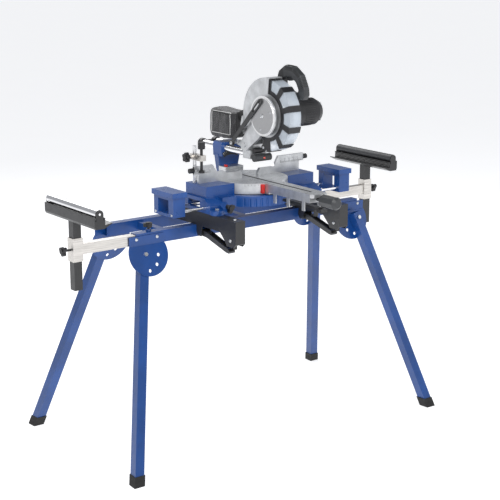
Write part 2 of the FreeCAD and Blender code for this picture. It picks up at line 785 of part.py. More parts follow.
def make_clamp():
    """The hold-down clamp: a post, a sliding arm, a screw with a pad and the knob that locks the arm."""
    post_y = as_size(25)
    screw_y = as_size(-18)
    post = rod("clamp_post", "Z", clamp_post_radius, (clamp_x, post_y), table, table + 132)
    arm = box("clamp arm bar", span(clamp_x, 22), (screw_y - 12, post_y + 14), (table + 84, table + 104))
    ear = rod("clamp arm ear", "X", 7, (post_y, table + 94), clamp_x - 24, clamp_x)
    bores = [rod("clamp arm post bore", "Z", clamp_post_radius + fit_gap, (clamp_x, post_y), table,
                 table + 140),
             rod("clamp arm screw bore", "Z", 5 + fit_gap, (clamp_x, screw_y), table, table + 140),
             rod("clamp arm knob bore", "X", 3 + fit_gap, (post_y, table + 94), clamp_x - 30, clamp_x)]
    screw = join("clamp_screw", rod("clamp spindle", "Z", 5, (clamp_x, screw_y), table + 50, table + 146),
                 rod("clamp pad", "Z", 11, (clamp_x, screw_y), table + 42, table + 50),
                 prism("clamp grip", "Z", 8, 13, (clamp_x, screw_y), table + 126, table + 150))
    knob = wing_knob("clamp_knob", "X", (post_y, table + 94, clamp_x - clamp_post_radius - 0.5), -1, 22,
                     as_size(3), 5)
    return [post, cut("clamp_arm", join("clamp arm blank", arm, ear), *bores), screw, knob]


# ---------------------------------------------------------------- saw: turntable

def make_turntable():
    """The silver drum with its long arm, the lugs under the arm and the pin that the head tilts on."""
    half = table_arm_width / 2
    arm_end = -table_arm_length
    drum = rod("turntable drum", "Z", drum_radius, (0, 0), table - drum_height, table)
    arm = box("turntable arm", (-half, half), (arm_end, 0), (table - 30, table))
    tip = slab("turntable tip", "XY", [(-half, arm_end + 2), (half, arm_end + 2), (half - 8, arm_end - 14),
                                       (8 - half, arm_end - 14)], table - 12, table - 0.5)
    lugs = [box(f"turntable lug {i}", (-half, half), span(y, 14), (table - 62, table - 28))
            for i, y in enumerate((-188, -262, -345))]
    neck = box("turntable neck", (-half, half), (-drum_radius - 20, -drum_radius + 20),
               (table - 36, table - 20))
    boss = box("turntable tilt boss", (-40, 40), (96, 138), (table - 36, table + 24))
    pin = rod("turntable tilt pin", "Y", 14, (0, table), 130, post_front + post_depth + 6)
    pivot = rod("turntable pivot", "Z", 12, (0, 0), foot_z + 30, table - 20)
    blank = join("turntable blank", drum, arm, tip, *lugs, neck, boss, pin, pivot)
    slot = box("turntable slot", span(as_size(0), kerf_width), (-345, 92), (table - kerf_depth, table + 1))
    hollow = box("turntable lug hollow", (4 - half, half - 4), (-356, -176), (table - 70, table - 15))
    under = cut("turntable under", rod("turntable under disc", "Z", drum_radius - 13, (0, 0), table - 70,
                                       table - 15),
                rod("turntable under boss", "Z", 34, (0, 0), table - 71, table))
    shaft = rod("turntable handle bore", "Y", 6 + fit_gap, (0, table - 20), arm_end - 1, arm_end + 30)
    return cut("turntable", blank, slot, hollow, under, shaft)


def make_kerf_insert():
    """Two black strips that line the blade's slot."""
    strips = [box(f"kerf strip {side_name(s)}", ordered(s * 2.5, s * kerf_width / 2), (-344, 91),
                  (table - kerf_depth, table - 0.2)) for s in (-1, 1)]
    return group("kerf_insert", *strips)


def make_mitre_handle():
    """The faceted black knob that locks the turntable, on its shaft."""
    end = -table_arm_length
    shaft = rod("mitre shaft", "Y", 6, (0, table - 20), end - 40, end + 28)
    grip = prism("mitre grip", "Y", 8, 22, (0, table - 20), end - 96, end - 28)
    nose = cone("mitre nose", "Y", (14, 22), (0, table - 20), end - 104, end - 96)
    collar = cone("mitre collar", "Y", (20, 9), (0, table - 20), end - 28, end - 16)
    return join("mitre_handle", shaft, grip, nose, collar)


def make_detent_lever():
    """The black bar under the arm that lifts the detent, with its thumb stub."""
    end = -table_arm_length
    bar = box("detent bar", (-9, 9), (end - 16, -200), (table - 56, table - 46))
    paddle = box("detent paddle", (-14, 14), (end - 34, end - 12), (table - 60, table - 50))
    stub = rod("detent stub", "Z", 8, (0, end + 10), table - 80, table - 50)
    return join("detent_lever", bar, paddle, stub)


# ---------------------------------------------------------------- saw: tilting post and sliding rails

def make_bevel_post():
    """The blue housing that tilts behind the table and carries the two rails."""
    rear = post_front + post_depth
    foot = slab("bevel foot", "XZ", [(-24, table - 28), (24, table - 28), (46, table + 10), (58, table + 66),
                                     (-42, table + 66), (-34, table + 14)], 140, rear)
    head = slab("bevel head", "XZ", [(-40, table + 60), (56, table + 60), (58, table + 100),
                                     (50, table + 112),
                                     (-36, table + 112), (-42, table + 104)], post_front, rear + 8)
    bores = [rod(f"bevel bore {name}", "Y", rail_radius + fit_gap, (x, rail_z), 100, 240)
             for name, x in (("left", rail_left), ("right", rail_right))]
    pivot = rod("bevel pivot bore", "Y", 14 + fit_gap, (0, table), 120, 240)
    return cut("bevel_post", join("bevel blank", foot, head), *bores, pivot)


def make_bevel_lever():
    """The black lever that locks the tilt, on the end of the tilt pin."""
    rear = post_front + post_depth + 9
    hub = rod("bevel lever hub", "Y", 13, (0, table), rear, rear + 16)
    arm = slab("bevel lever arm", "XZ", [(-8, table), (8, table), (46, table - 62), (34, table - 68)],
               rear + 4, rear + 14)
    return join("bevel_lever", hub, arm)


def make_rails():
    """The two bright rails, each a thick tube."""
    start = chop_y - 14
    end = start + rail_length
    bars = [cut(f"rail {name}", rod(f"rail {name} bar", "Y", rail_radius, (x, rail_z), start, end),
                rod(f"rail {name} bore", "Y", rail_radius - 3, (x, rail_z), start - 1, end + 1))
            for name, x in (("left", rail_left), ("right", rail_right))]
    return group("slide_rails", *bars)


def make_rail_caps():
    """The black bar that ties the rails' rear ends."""
    end = chop_y - 14 + rail_length
    caps = [rod(f"rail cap {name}", "Y", rail_radius + 4, (x, rail_z), end, end + 18)
            for name, x in (("left", rail_left), ("right", rail_right))]
    bridge = box("rail bridge", (rail_left, rail_right), (end + 3, end + 15), span(rail_z, 16))
    return join("rail_caps", *caps, bridge)


def make_carrier():
    """The ribbed silver casting on the rails' front ends, which holds the head's hinge pin."""
    low = table + 74
    plate = slab("carrier plate", "YZ", [(-50, low), (-6, low), (-6, table + 104), (-12, chop_z + 8),
                                         (chop_y, chop_z + 20), (chop_y - 20, chop_z), (-50, table + 100)],
                 -34, 17)
    block = box("carrier block", (-38, 54), (-50, -6), (low, table + 106))
    lug = slab("carrier link lug", "YZ", [(-20, table + 108), (-14, chop_z + 10), (26, table + 134),
                                          (37, table + 128), (34, table + 117), (8, table + 112)], -34, -26)
    link_pin = rod("carrier link pin", "X", 5, (30, table + 125), -62, -30)
    pin = rod("carrier hinge pin", "X", pivot_pin_radius, (chop_y, chop_z), -54, 44)
    ribs = [box(f"carrier rib {i}", (-36, 52), (-54, -49), span(table + 92 + 9 * i, 3)) for i in range(2)]
    bores = [rod(f"carrier bore {name}", "Y", rail_radius, (x, rail_z), chop_y - 14, 10)
             for name, x in (("left", rail_left), ("right", rail_right))]
    blank = join("carrier blank", plate, block, lug, link_pin, pin, *ribs)
    return cut("pivot_carrier", blank, *bores)


def make_laser():
    """The dark laser housing across the front of the carrier, with its lens."""
    body = rod("laser barrel", "X", 13, (-70, table + 80), -37, 35)
    neck = box("laser neck", (-20, 20), (-62, -50), (table + 76, table + 88))
    lens = cone("laser lens", "Y", (4, 8), (0, table + 80), -85, -80)
    return join("laser_unit", body, neck, lens)


# ---------------------------------------------------------------- saw: head, guard, blade and motor

def make_head_arm():
    """The silver head casting: two arm plates on the hinge, the fixed guard and the gearbox."""
    plate_x = (-50, -38)
    left = slab("arm left", "YZ", [(chop_y + 16, chop_z - 8), (chop_y + 18, chop_z + 12), polar(96, 205),
                                   polar(60, 190), polar(40, 120), polar(60, 30), polar(60, 262),
                                   polar(92, 248), (chop_y - 14, chop_z - 16)], *plate_x)
    right = slab("arm right", "YZ", [(chop_y + 12, chop_z - 2), (chop_y + 14, chop_z + 14), polar(60, 195),
                                     polar(40, 100), polar(40, 270), (chop_y - 8, chop_z - 10)], 18, 38)
    bosses = [rod("arm boss left", "X", 22, (chop_y, chop_z), *plate_x),
              rod("arm boss right", "X", 13, (chop_y, chop_z), 18, 40)]
    gearbox = rod("gearbox", "X", 58, (blade_y, blade_z), 16, 52)
    hub = rod("guard hub", "X", hub_radius - 0.5, (blade_y, blade_z), -38, -36.4)
    rim = ring("fixed rim", guard_radius + 8, guard_radius + 4.5, (-40, 17))
    side = ring("fixed side", guard_radius + 8, hub_radius - 8, (-41, -38))
    back = ring("fixed back", guard_radius + 8, 50, (16.2, 19))
    arc = wedge("fixed arc", 220, 84, 206, (-60, 60))
    hood = common("fixed guard", join("fixed guard ring", rim, side, back), arc)
    bridge = slab("arm bridge", "YZ", [polar(guard_radius + 6, 204), polar(guard_radius + 6, 214),
                                       polar(guard_radius + 20, 212), polar(guard_radius + 20, 198),
                                       polar(guard_radius + 5, 186)], -50, 38)
    neck = rod("dust neck", "Y", 17, (0, table + neck_rise), -20, 34)
    blank = join("head blank", left, right, *bosses, gearbox, hub, hood, bridge, neck)
    hinge = rod("head hinge bore", "X", pivot_pin_radius + fit_gap, (chop_y, chop_z), -70, 70)
    shaft = rod("head arbor bore", "X", 9 + fit_gap, (blade_y, blade_z), 10, 60)
    blade_path = rod("head blade space", "X", guard_radius + 4.4, (blade_y, blade_z), -36, 15.5)
    hollow = rod("dust neck bore", "Y", 13, (0, table + neck_rise), -40, 35)
    return cut("head_arm", blank, hinge, shaft, blade_path, hollow)


def make_guard_cover():
    """The round cover over the arbor, dished, with its fixing hole."""
    disc = rod("cover disc", "X", 70, (blade_y, blade_z), -56, -50)
    step = rod("cover step", "X", 62, (blade_y, blade_z), -59, -56)
    hole = rod("cover hole", "X", 5, polar(38, 118), -70, -51)
    return cut("guard_cover", join("cover blank", disc, step), hole)


def toothed_plate(label, teeth):
    """The blade's plate, with a hooked tooth on every pitch, at the sheet's own sizes."""
    SHEET.recompute()
    radius = SHEET.get("blade_radius")
    half = SHEET.get("blade_thickness") / 2
    pitch = 360 / teeth
    corners = []
    for i in range(teeth):
        for depth, share in ((8, 0), (2, 0.35), (0, 0.75), (7, 0.86)):
            y, z = polar(radius - depth, pitch * (i + share))
            corners.append(FreeCAD.Vector(-half, y.value, z.value))
    outline = Part.makePolygon(corners + corners[:1])
    plate = new("Part::Feature", label)
    plate.Shape = Part.Face(outline).extrude(FreeCAD.Vector(2 * half, 0, 0))
    return plate


def make_blade():
    """A saw blade with 48 teeth and four slots, on the arbor with its two flanges and its bolt."""
    plate = toothed_plate("blade plate", 48)
    slots = [slab(f"blade slot {i}", "YZ", [polar(blade_radius + 5, a), polar(blade_radius - 22, a),
                                            polar(blade_radius - 22, a + 1),
                                            polar(blade_radius + 5, a + 0.8)], -5, 5)
             for i, a in enumerate((20, 110, 200, 290))]
    arbor = rod("arbor", "X", 9, (blade_y, blade_z), -16, 50)
    flanges = rod("arbor flanges", "X", 21, (blade_y, blade_z), -6, 6)
    bolt = prism("arbor bolt", "X", 6, 10, (blade_y, blade_z), -22, -14)
    return join("blade", cut("blade cut", plate, *slots), flanges, arbor, bolt)


GUARD_START, GUARD_END = -95, 95


def make_lower_guard():
    """The clear swinging guard: a rim and two cheeks."""
    x = (guard_left, guard_right)
    rim = ring("clear rim", guard_radius, guard_radius - 3, x)
    left = ring("clear left", guard_radius, hub_radius + 11, (guard_left, guard_left + 2.5))
    right = ring("clear right", guard_radius, hub_radius, (guard_right - 2.5, guard_right))
    arc = wedge("clear arc", 220, GUARD_START, GUARD_END, (-60, 60))
    return common("lower_guard", join("clear ring", rim, left, right), arc)


def make_guard_frame():
    """The guard's black ring and ribs, with the small roller that rides up on the work."""
    x = (guard_left - 2.7, guard_left - 0.05)
    hoop = ring("guard hoop", hub_radius + 13, hub_radius, x)
    pieces = [hoop]
    for i in range(6):
        angle = 85 - 34.4 * i
        rib = slab(f"guard rib {i}", "YZ", [polar(hub_radius + 5, angle - 6),
                                            polar(guard_radius + 2.4, angle - 5),
                                            polar(guard_radius + 3, angle),
                                            polar(guard_radius + 2.4, angle + 5),
                                            polar(hub_radius + 5, angle + 6)], *x)
        strap = common(f"guard strap {i}", ring(f"guard strap ring {i}", guard_radius + 2.6,
                                                guard_radius + 0.05,
                                                (x[0], guard_right + 1)),
                       wedge(f"guard strap arc {i}", 220, angle - 5, angle + 5, (-60, 60)))
        pieces += [rib, strap]
    ear = slab("guard ear", "YZ", [polar(hub_radius + 5, -86), polar(guard_radius - 2, -88),
                                   polar(guard_radius - 2, -106),
                                   polar(hub_radius + 5, -100)], *x)
    roller = rod("guard roller", "X", 11, polar(guard_radius - 8, -101), guard_left - 2.7, guard_left + 12)
    return join("guard_frame", *pieces, ear, roller)


def make_link():
    """The black link that swings the guard, slotted at its upper end."""
    low = (as_size(30), table + 125)
    high = (as_size(-139), table + 291)
    dy, dz = (high[0] - low[0]).value, (high[1] - low[1]).value
    length = math.hypot(dy, dz)
    uy, uz = dy / length, dz / length

    def along_link(distance, across):
        return (low[0] + uy * distance - uz * across, low[1] + uz * distance + uy * across)

    bar = slab("link bar", "YZ", [along_link(0, 7), along_link(length, 10), along_link(length, -10),
                                  along_link(0, -7)], -64, -59.5)
    ends = [rod("link low end", "X", 11, low, -64, -55), rod("link high end", "X", 10, high, -64, -59.5)]
    slot = slab("link slot", "YZ", [along_link(length - 58, 4), along_link(length + 2, 4),
                                    along_link(length + 2, -4), along_link(length - 58, -4)], -70, -50)
    bore = rod("link bore", "X", 5 + fit_gap, low, -70, -50)
    return cut("guard_link", join("link blank", bar, *ends), slot, bore)


def make_motor():
    """The black motor housing, stepped and vented."""
    barrel = rod("motor barrel", "X", motor_radius, (blade_y, blade_z), 52, motor_end - 22)
    end = cone("motor end", "X", (motor_radius, motor_radius - 12), (blade_y, blade_z), motor_end - 22,
               motor_end)
    foot = box("motor brush box", (70, 110), span(blade_y, 30),
               (blade_z + motor_radius - 8, blade_z + motor_radius + 6))
    vents = [box(f"motor vent {i}", (motor_end - 50 + 7 * i, motor_end - 47 + 7 * i), span(blade_y, 60),
                 (blade_z + motor_radius - 5, blade_z + 80)) for i in range(4)]
    inlet = rod("motor cord gland", "Z", 8, (120, blade_y), blade_z + 30, blade_z + motor_radius + 12)
    return join("motor_housing", cut("motor cut", join("motor blank", barrel, end), *vents), foot, inlet)


def make_handle():
    """The dark D-shaped handle in front of the gearbox, with room for a hand and a pocket for the trigger."""
    x = (handle_left, handle_right)
    outline = [polar(50, 88), (blade_y + 22, table + 352), (blade_y + 6, table + 392),
               (blade_y - 28, table + 414),
               (blade_y - 70, table + 412), (blade_y - 112, table + 386), (blade_y - 136, table + 340),
               (blade_y - 138, table + 318), (blade_y - 126, table + 302), (blade_y - 100, table + 300),
               polar(52, 46)]
    gap = [(blade_y - 20, table + 334), (blade_y - 18, table + 362), (blade_y - 36, table + 374),
           (blade_y - 66, table + 374), (blade_y - 88, table + 358), (blade_y - 102, table + 334),
           (blade_y - 98, table + 326), (blade_y - 80, table + 322)]
    spaces = [slab("handle gap", "YZ", gap, 0, 60),
              box("handle trigger pocket", (21, 37), (blade_y - 68, blade_y - 32),
                  (table + 370, table + 385)),
              rod("handle guard space", "X", guard_radius + 9, (blade_y, blade_z), 0, 19.5),
              rod("handle gearbox space", "X", 58, (blade_y, blade_z), 0, 52)]
    return cut("handle", slab("handle blank", "YZ", outline, *x), *spaces)


def make_trigger():
    """The trigger under the handle's top bar, partly inside its pocket."""
    return slab("trigger", "YZ", [(blade_y - 34, table + 378), (blade_y - 66, table + 378),
                                  (blade_y - 63, table + 364), (blade_y - 50, table + 361),
                                  (blade_y - 38, table + 362)], 22, 36)


def make_dust_bag():
    """A plain solid of the dust bag's outer shape, with its collar on the dust neck."""
    bag = slab("bag body", "YZ", [(44, table + 132), (60, table + 122), (188, table + 120),
                                  (208, table + 134),
                                  (212, table + 236), (198, table + 250), (120, table + 249),
                                  (60, table + 246),
                                  (40, table + 234)], -45, 52)
    collar = rod("bag collar", "Y", 21, (0, table + neck_rise), 6, 44)
    bore = rod("bag collar bore", "Y", 17.3, (0, table + neck_rise), 0, 36)
    return cut("dust_bag", join("bag blank", bag, collar), bore)


# ---------------------------------------------------------------- everything, checked and exported

def make_everything():
    """Every named piece of the object."""
    pieces = [make_beam("front_beam", front_beam_y, arm_knob_x(-1)),
              make_beam("rear_beam", rear_beam_y, arm_knob_x(1)), make_cross_members()]
    pieces += make_arms()
    pieces += [make_leg(row, sign) for row, sign in LEGS]
    pieces += [make_leg_plates(), make_leg_bolts()]
    for sign in (-1, 1):
        pieces += [make_bracket(sign), make_bracket_lever(sign), make_extension(sign),
                   make_extension_screw(sign), make_upper_fence(sign)]
    pieces += [make_base(), make_base_bolts(), make_fence_rail(), *make_clamp(), make_turntable(),
               make_kerf_insert(), make_mitre_handle(), make_detent_lever(), make_bevel_post(),
               make_bevel_lever(), make_rails(), make_rail_caps(), make_carrier(), make_laser(),
               make_head_arm(), make_guard_cover(), make_blade(), make_lower_guard(), make_guard_frame(),
               make_link(), make_motor(), make_handle(), make_trigger(), make_dust_bag()]
    return pieces


def check_and_export(pieces):
    """Stops on any failed object, then writes one file per piece."""
    DOC.recompute()
    for thing in DOC.Objects:
        if "Invalid" in thing.State or "Error" in thing.State:
            raise RuntimeError(f"{thing.Label}: {thing.State}")
    for piece in pieces:
        if piece.Shape.isNull() or not piece.Shape.isValid() or not piece.Shape.Solids:
            raise RuntimeError(f"{piece.Label}: no valid solid")
    os.makedirs("parts", exist_ok=True)
    for piece in pieces:
        piece.Shape.exportStep(f"parts/{piece.Label}.step")


check_and_export(make_everything())
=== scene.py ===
"""A sliding mitre saw on its folding stand: finishes for the fixed frame, and the soft and fine pieces."""

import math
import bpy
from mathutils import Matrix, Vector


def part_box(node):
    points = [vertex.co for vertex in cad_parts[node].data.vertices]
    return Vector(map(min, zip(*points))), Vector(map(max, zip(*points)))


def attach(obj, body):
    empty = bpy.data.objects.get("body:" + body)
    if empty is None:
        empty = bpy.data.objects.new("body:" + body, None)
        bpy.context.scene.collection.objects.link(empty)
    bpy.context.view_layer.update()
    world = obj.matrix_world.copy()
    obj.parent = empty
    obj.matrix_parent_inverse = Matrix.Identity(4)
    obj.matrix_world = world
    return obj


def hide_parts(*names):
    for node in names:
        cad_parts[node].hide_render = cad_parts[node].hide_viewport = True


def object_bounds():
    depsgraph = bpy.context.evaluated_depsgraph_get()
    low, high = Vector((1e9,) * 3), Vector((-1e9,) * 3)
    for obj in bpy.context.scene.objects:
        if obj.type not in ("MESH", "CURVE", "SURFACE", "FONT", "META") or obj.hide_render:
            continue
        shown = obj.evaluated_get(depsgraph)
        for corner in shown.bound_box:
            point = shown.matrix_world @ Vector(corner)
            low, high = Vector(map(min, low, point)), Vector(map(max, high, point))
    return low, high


bl_info = {
    "name": "Mitre saw on stand",
    "version": (1, 0, 0),
    "blender": (4, 5, 0),
    "location": "View3D > Sidebar > Mitre Saw",
    "description": "Dresses a mitre saw on a folding stand: paint, guard, dust bag, scales and handle",
    "category": "Object",
}

import bmesh
import bpy
from mathutils import Matrix, Vector, noise

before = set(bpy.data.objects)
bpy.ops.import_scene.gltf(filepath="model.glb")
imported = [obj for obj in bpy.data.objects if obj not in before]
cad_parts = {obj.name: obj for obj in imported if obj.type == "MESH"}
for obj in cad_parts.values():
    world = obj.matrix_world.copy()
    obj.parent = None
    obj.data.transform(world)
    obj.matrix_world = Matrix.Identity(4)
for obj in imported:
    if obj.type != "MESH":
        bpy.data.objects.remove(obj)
CAD_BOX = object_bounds()
MM = 0.001
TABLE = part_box("fence_rail")[0].z
BLADE_LOW, BLADE_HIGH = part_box("blade")
ARBOR = Vector((0, (BLADE_LOW.y + BLADE_HIGH.y) / 2, (BLADE_LOW.z + BLADE_HIGH.z) / 2))
BLADE_PAINT_RADIUS = 84 * MM
# Radius where the arbor cover's painted highlight begins: its bevelled rim is coloured near white.
COVER_HIGHLIGHT_RADIUS = 61.5 * MM
COVER_SCREW_RADIUS = 48 * MM
FOOT_TOP = 34.5 * MM
FENCE_KNOB_LENGTH = 17.5 * MM
EXTENSION_ROD_LENGTH = 187 * MM
TILT_PIN_LENGTH = 33 * MM
LINK_PIN_INSET = 11 * MM
LEG_PLATE_X = 458 * MM
GUARD_ROLLER_RADIUS = 116 * MM
MARK_EDGE = 0.05 * MM


# ---------------------------------------------------------------- settings a user would change

class FinishSettings(bpy.types.PropertyGroup):
    """Colours of the object's finishes."""

    blue: bpy.props.FloatVectorProperty(
        name="Blue paint", description="Colour of the stand and the saw's castings", subtype="COLOR", size=3,
        min=0, max=1, default=(0.004, 0.052, 0.225))
    silver: bpy.props.FloatVectorProperty(
        name="Bare casting", description="Colour of the bare aluminium castings", subtype="COLOR", size=3,
        min=0, max=1, default=(0.62, 0.63, 0.64))
    clear: bpy.props.FloatVectorProperty(
        name="Clear guard", description="Tint of the swinging guard", subtype="COLOR", size=3,
        min=0, max=1, default=(0.78, 0.85, 0.93))
    black: bpy.props.FloatVectorProperty(
        name="Black plastic", description="Colour of knobs and housings", subtype="COLOR", size=3,
        min=0, max=1, default=(0.014, 0.014, 0.016))


class BagSettings(bpy.types.PropertyGroup):
    """Shape of the dust bag."""

    voxel: bpy.props.FloatProperty(
        name="Mesh size", description="Edge length of the cloth's mesh", subtype="DISTANCE", unit="LENGTH",
        min=0.003, max=0.01, default=0.005)
    bulge: bpy.props.FloatProperty(
        name="Largest bulge", description="The furthest that the cloth may move", subtype="DISTANCE",
        unit="LENGTH", min=0, max=0.02, default=0.009)
    pressure: bpy.props.FloatProperty(
        name="Pressure", description="Air pressure in the bag while it settles", min=0, max=20, default=3.0)
    shrink: bpy.props.FloatProperty(
        name="Starting size", description="Size before the cloth settles, as a share of the full shape",
        min=0.5, max=1, default=0.93)


class ScaleSettings(bpy.types.PropertyGroup):
    """Marks on the fences and the turntable."""

    pitch: bpy.props.FloatProperty(
        name="Mark pitch", description="Distance between two marks on a fence", subtype="DISTANCE",
        unit="LENGTH", min=0.001, max=0.02, default=0.005)
    digit_height: bpy.props.FloatProperty(
        name="Digit height", description="Height of the numbers", subtype="DISTANCE", unit="LENGTH",
        min=0.002, max=0.02, default=0.008)


class StageSettings(bpy.types.PropertyGroup):
    """Camera and floor."""

    azimuth: bpy.props.FloatProperty(
        name="Azimuth", description="Direction that the camera looks from, negative to the left",
        subtype="ANGLE", unit="ROTATION", default=math.radians(-37))
    elevation: bpy.props.FloatProperty(
        name="Elevation", description="Height of the camera above the floor's plane",
        subtype="ANGLE", unit="ROTATION", default=math.radians(14))
    lens: bpy.props.FloatProperty(
        name="Lens", description="Focal length", subtype="DISTANCE_CAMERA", min=20, max=300, default=95)
    floor: bpy.props.FloatVectorProperty(
        name="Floor", description="Colour of the floor", subtype="COLOR", size=3, min=0, max=1,
        default=(0.86, 0.865, 0.875))


def settings(kind):
    """The scene's settings of that kind."""
    return getattr(bpy.context.scene, "mitre_saw_" + kind)


# ---------------------------------------------------------------- finishes

class Recipe:
    """A material under construction: its nodes, links and main shader."""

    def __init__(self, name):
        self.material = bpy.data.materials.new(name)
        self.material.use_nodes = True
        self.tree = self.material.node_tree
        self.shader = self.tree.nodes["Principled BSDF"]
        self.place = self.node("ShaderNodeTexCoord").outputs["Object"]

    def node(self, kind, **values):
        """A node whose properties and inputs are set by name."""
        made = self.tree.nodes.new(kind)
        for key, value in values.items():
            if hasattr(made, key):
                setattr(made, key, value)
            else:
                made.inputs[key.replace("_", " ")].default_value = value
        return made

    def link(self, source, target):
        """Joins an output to an input."""
        self.tree.links.new(source, target)

    def noise(self, scale, detail=4.0, roughness=0.55, stretch=None):
        """The factor of a noise on the object's own coordinates, per metre."""
        made = self.node("ShaderNodeTexNoise", Scale=scale, Detail=detail, Roughness=roughness)
        place = self.place
        if stretch:
            mapping = self.node("ShaderNodeMapping", Scale=stretch)
            self.link(place, mapping.inputs["Vector"])
            place = mapping.outputs["Vector"]
        self.link(place, made.inputs["Vector"])
        return made.outputs["Fac"]

    def spread(self, factor, low, high, start=0.3, end=0.7):
        """Maps a factor to a range of numbers."""
        made = self.node("ShaderNodeMapRange", From_Min=start, From_Max=end, To_Min=low, To_Max=high)
        self.link(factor, made.inputs["Value"])
        return made.outputs["Result"]

    def tint(self, factor, first, second, start=0.35, end=0.65):
        """Maps a factor to a colour between two."""
        ramp = self.node("ShaderNodeValToRGB")
        ramp.color_ramp.elements[0].position = start
        ramp.color_ramp.elements[1].position = end
        ramp.color_ramp.elements[0].color = (*first, 1)
        ramp.color_ramp.elements[1].color = (*second, 1)
        self.link(factor, ramp.inputs["Fac"])
        return ramp.outputs["Color"]

    def colour(self, output):
        """Gives the main shader its colour."""
        self.link(output, self.shader.inputs["Base Color"])

    def roughness(self, output):
        """Gives the main shader its roughness."""
        self.link(output, self.shader.inputs["Roughness"])

    def bump(self, factor, depth, strength=0.5):
        """Roughens the surface with a height in metres."""
        made = self.node("ShaderNodeBump", Distance=depth, Strength=strength)
        self.link(factor, made.inputs["Height"])
        self.link(made.outputs["Normal"], self.shader.inputs["Normal"])

    def set(self, **values):
        """Sets sockets of the main shader."""
        for key, value in values.items():
            self.shader.inputs[key.replace("_", " ")].default_value = value
        return self


def shade(colour, amount):
    """A colour made lighter or darker by a factor."""
    return tuple(min(1.0, channel * amount) for channel in colour)


def painted(name, colour, roughness, grain_depth=0.00006):
    """Powder coat: fine orange peel, slight colour drift and scuffs."""
    recipe = Recipe(name)
    drift = recipe.noise(9, 3)
    recipe.colour(recipe.tint(drift, shade(colour, 0.86), shade(colour, 1.14)))
    scuffs = recipe.noise(60, 6, 0.7)
    recipe.roughness(recipe.spread(scuffs, roughness - 0.06, roughness + 0.12))
    recipe.bump(recipe.noise(900, 2), grain_depth, 0.35)
    return recipe.set(Coat_Weight=0.25, Coat_Roughness=0.2).material


def casting(name, colour, roughness=0.36):
    """Sand-cast or die-cast aluminium: fine pits over broad clouding."""
    recipe = Recipe(name)
    cloud = recipe.noise(26, 5)
    recipe.colour(recipe.tint(cloud, shade(colour, 0.84), shade(colour, 1.12)))
    recipe.roughness(recipe.spread(recipe.noise(220, 4), roughness - 0.08, roughness + 0.14))
    recipe.bump(recipe.noise(1400, 3, 0.65), 0.00012, 0.4)
    return recipe.set(Metallic=0.82).material


def brushed(name, colour, roughness, stretch):
    """Metal with fine lines along one direction."""
    recipe = Recipe(name)
    lines = recipe.noise(300, 3, 0.6, stretch)
    recipe.colour(recipe.tint(lines, shade(colour, 0.8), shade(colour, 1.1)))
    recipe.roughness(recipe.spread(lines, roughness - 0.07, roughness + 0.12))
    recipe.bump(lines, 0.00003, 0.3)
    return recipe.set(Metallic=1.0).material


def polished(name, colour, roughness=0.08):
    """Hard chrome with faint wiped streaks."""
    recipe = Recipe(name)
    streaks = recipe.noise(40, 5, 0.6, (1, 0.2, 1))
    recipe.colour(recipe.tint(streaks, shade(colour, 0.93), colour))
    recipe.roughness(recipe.spread(streaks, roughness, roughness + 0.09))
    return recipe.set(Metallic=1.0).material


def moulded(name, colour, roughness=0.5, grain=1600, depth=0.00012):
    """Moulded plastic with a spark-eroded grain."""
    recipe = Recipe(name)
    drift = recipe.noise(14, 3)
    recipe.colour(recipe.tint(drift, shade(colour, 0.85), shade(colour, 1.2)))
    recipe.roughness(recipe.spread(recipe.noise(90, 5), roughness - 0.07, roughness + 0.1))
    recipe.bump(recipe.noise(grain, 2), depth, 0.5)
    return recipe.material


def woven(name, colour):
    """Black polyester: a fine basket weave with a soft sheen and patches of dust."""
    recipe = Recipe(name)
    threads = []
    for direction in ("Y", "Z"):
        wave = recipe.node("ShaderNodeTexWave", wave_type="BANDS", bands_direction=direction, Scale=330,
                           Distortion=0.4, Detail=1.0, Detail_Scale=2.0)
        recipe.link(recipe.place, wave.inputs["Vector"])
        threads.append(wave.outputs["Fac"])
    weave = recipe.node("ShaderNodeMath", operation="MULTIPLY")
    recipe.link(threads[0], weave.inputs[0])
    recipe.link(threads[1], weave.inputs[1])
    dust = recipe.noise(24, 6, 0.6)
    recipe.colour(recipe.tint(dust, colour, shade(colour, 2.1), 0.4, 0.75))
    recipe.roughness(recipe.spread(weave.outputs["Value"], 0.62, 0.85, 0, 1))
    recipe.bump(weave.outputs["Value"], 0.0005, 0.7)
    return recipe.set(Sheen_Weight=0.35, Sheen_Roughness=0.5).material


def clear_plastic(name, colour):
    """Clear guard plastic with faint scratches from sawdust."""
    recipe = Recipe(name)
    scratches = recipe.noise(160, 6, 0.7, (1, 1, 0.25))
    recipe.colour(recipe.tint(scratches, shade(colour, 0.92), colour))
    recipe.roughness(recipe.spread(scratches, 0.05, 0.2))
    recipe.set(Alpha=0.42, IOR=1.5, Coat_Weight=0.6, Coat_Roughness=0.06)
    recipe.material.surface_render_method = "BLENDED"
    return recipe.material


def ringed(name, inner, outer, radius, metallic, roughness):
    """Two colours that meet on a circle about the arbor, such as a blade's painted body and bare rim, and the
    arbor cover's grey disc with a painted highlight round its bevelled rim.
    """
    recipe = Recipe(name)
    mapping = recipe.node("ShaderNodeMapping", Location=(0, -ARBOR.y, -ARBOR.z))
    recipe.link(recipe.place, mapping.inputs["Vector"])
    flat = recipe.node("ShaderNodeVectorMath", operation="MULTIPLY")
    flat.inputs[1].default_value = (0, 1, 1)
    recipe.link(mapping.outputs["Vector"], flat.inputs[0])
    length = recipe.node("ShaderNodeVectorMath", operation="LENGTH")
    recipe.link(flat.outputs["Vector"], length.inputs[0])
    edge = recipe.spread(length.outputs["Value"], 0, 1, radius - 0.0006, radius + 0.0006)
    recipe.colour(recipe.tint(edge, inner, outer, 0.45, 0.55))
    recipe.roughness(recipe.spread(recipe.noise(120, 5), roughness - 0.08, roughness + 0.12))
    recipe.bump(recipe.noise(500, 3), 0.00005, 0.3)
    return recipe.set(Metallic=metallic).material


FINISHES = {}


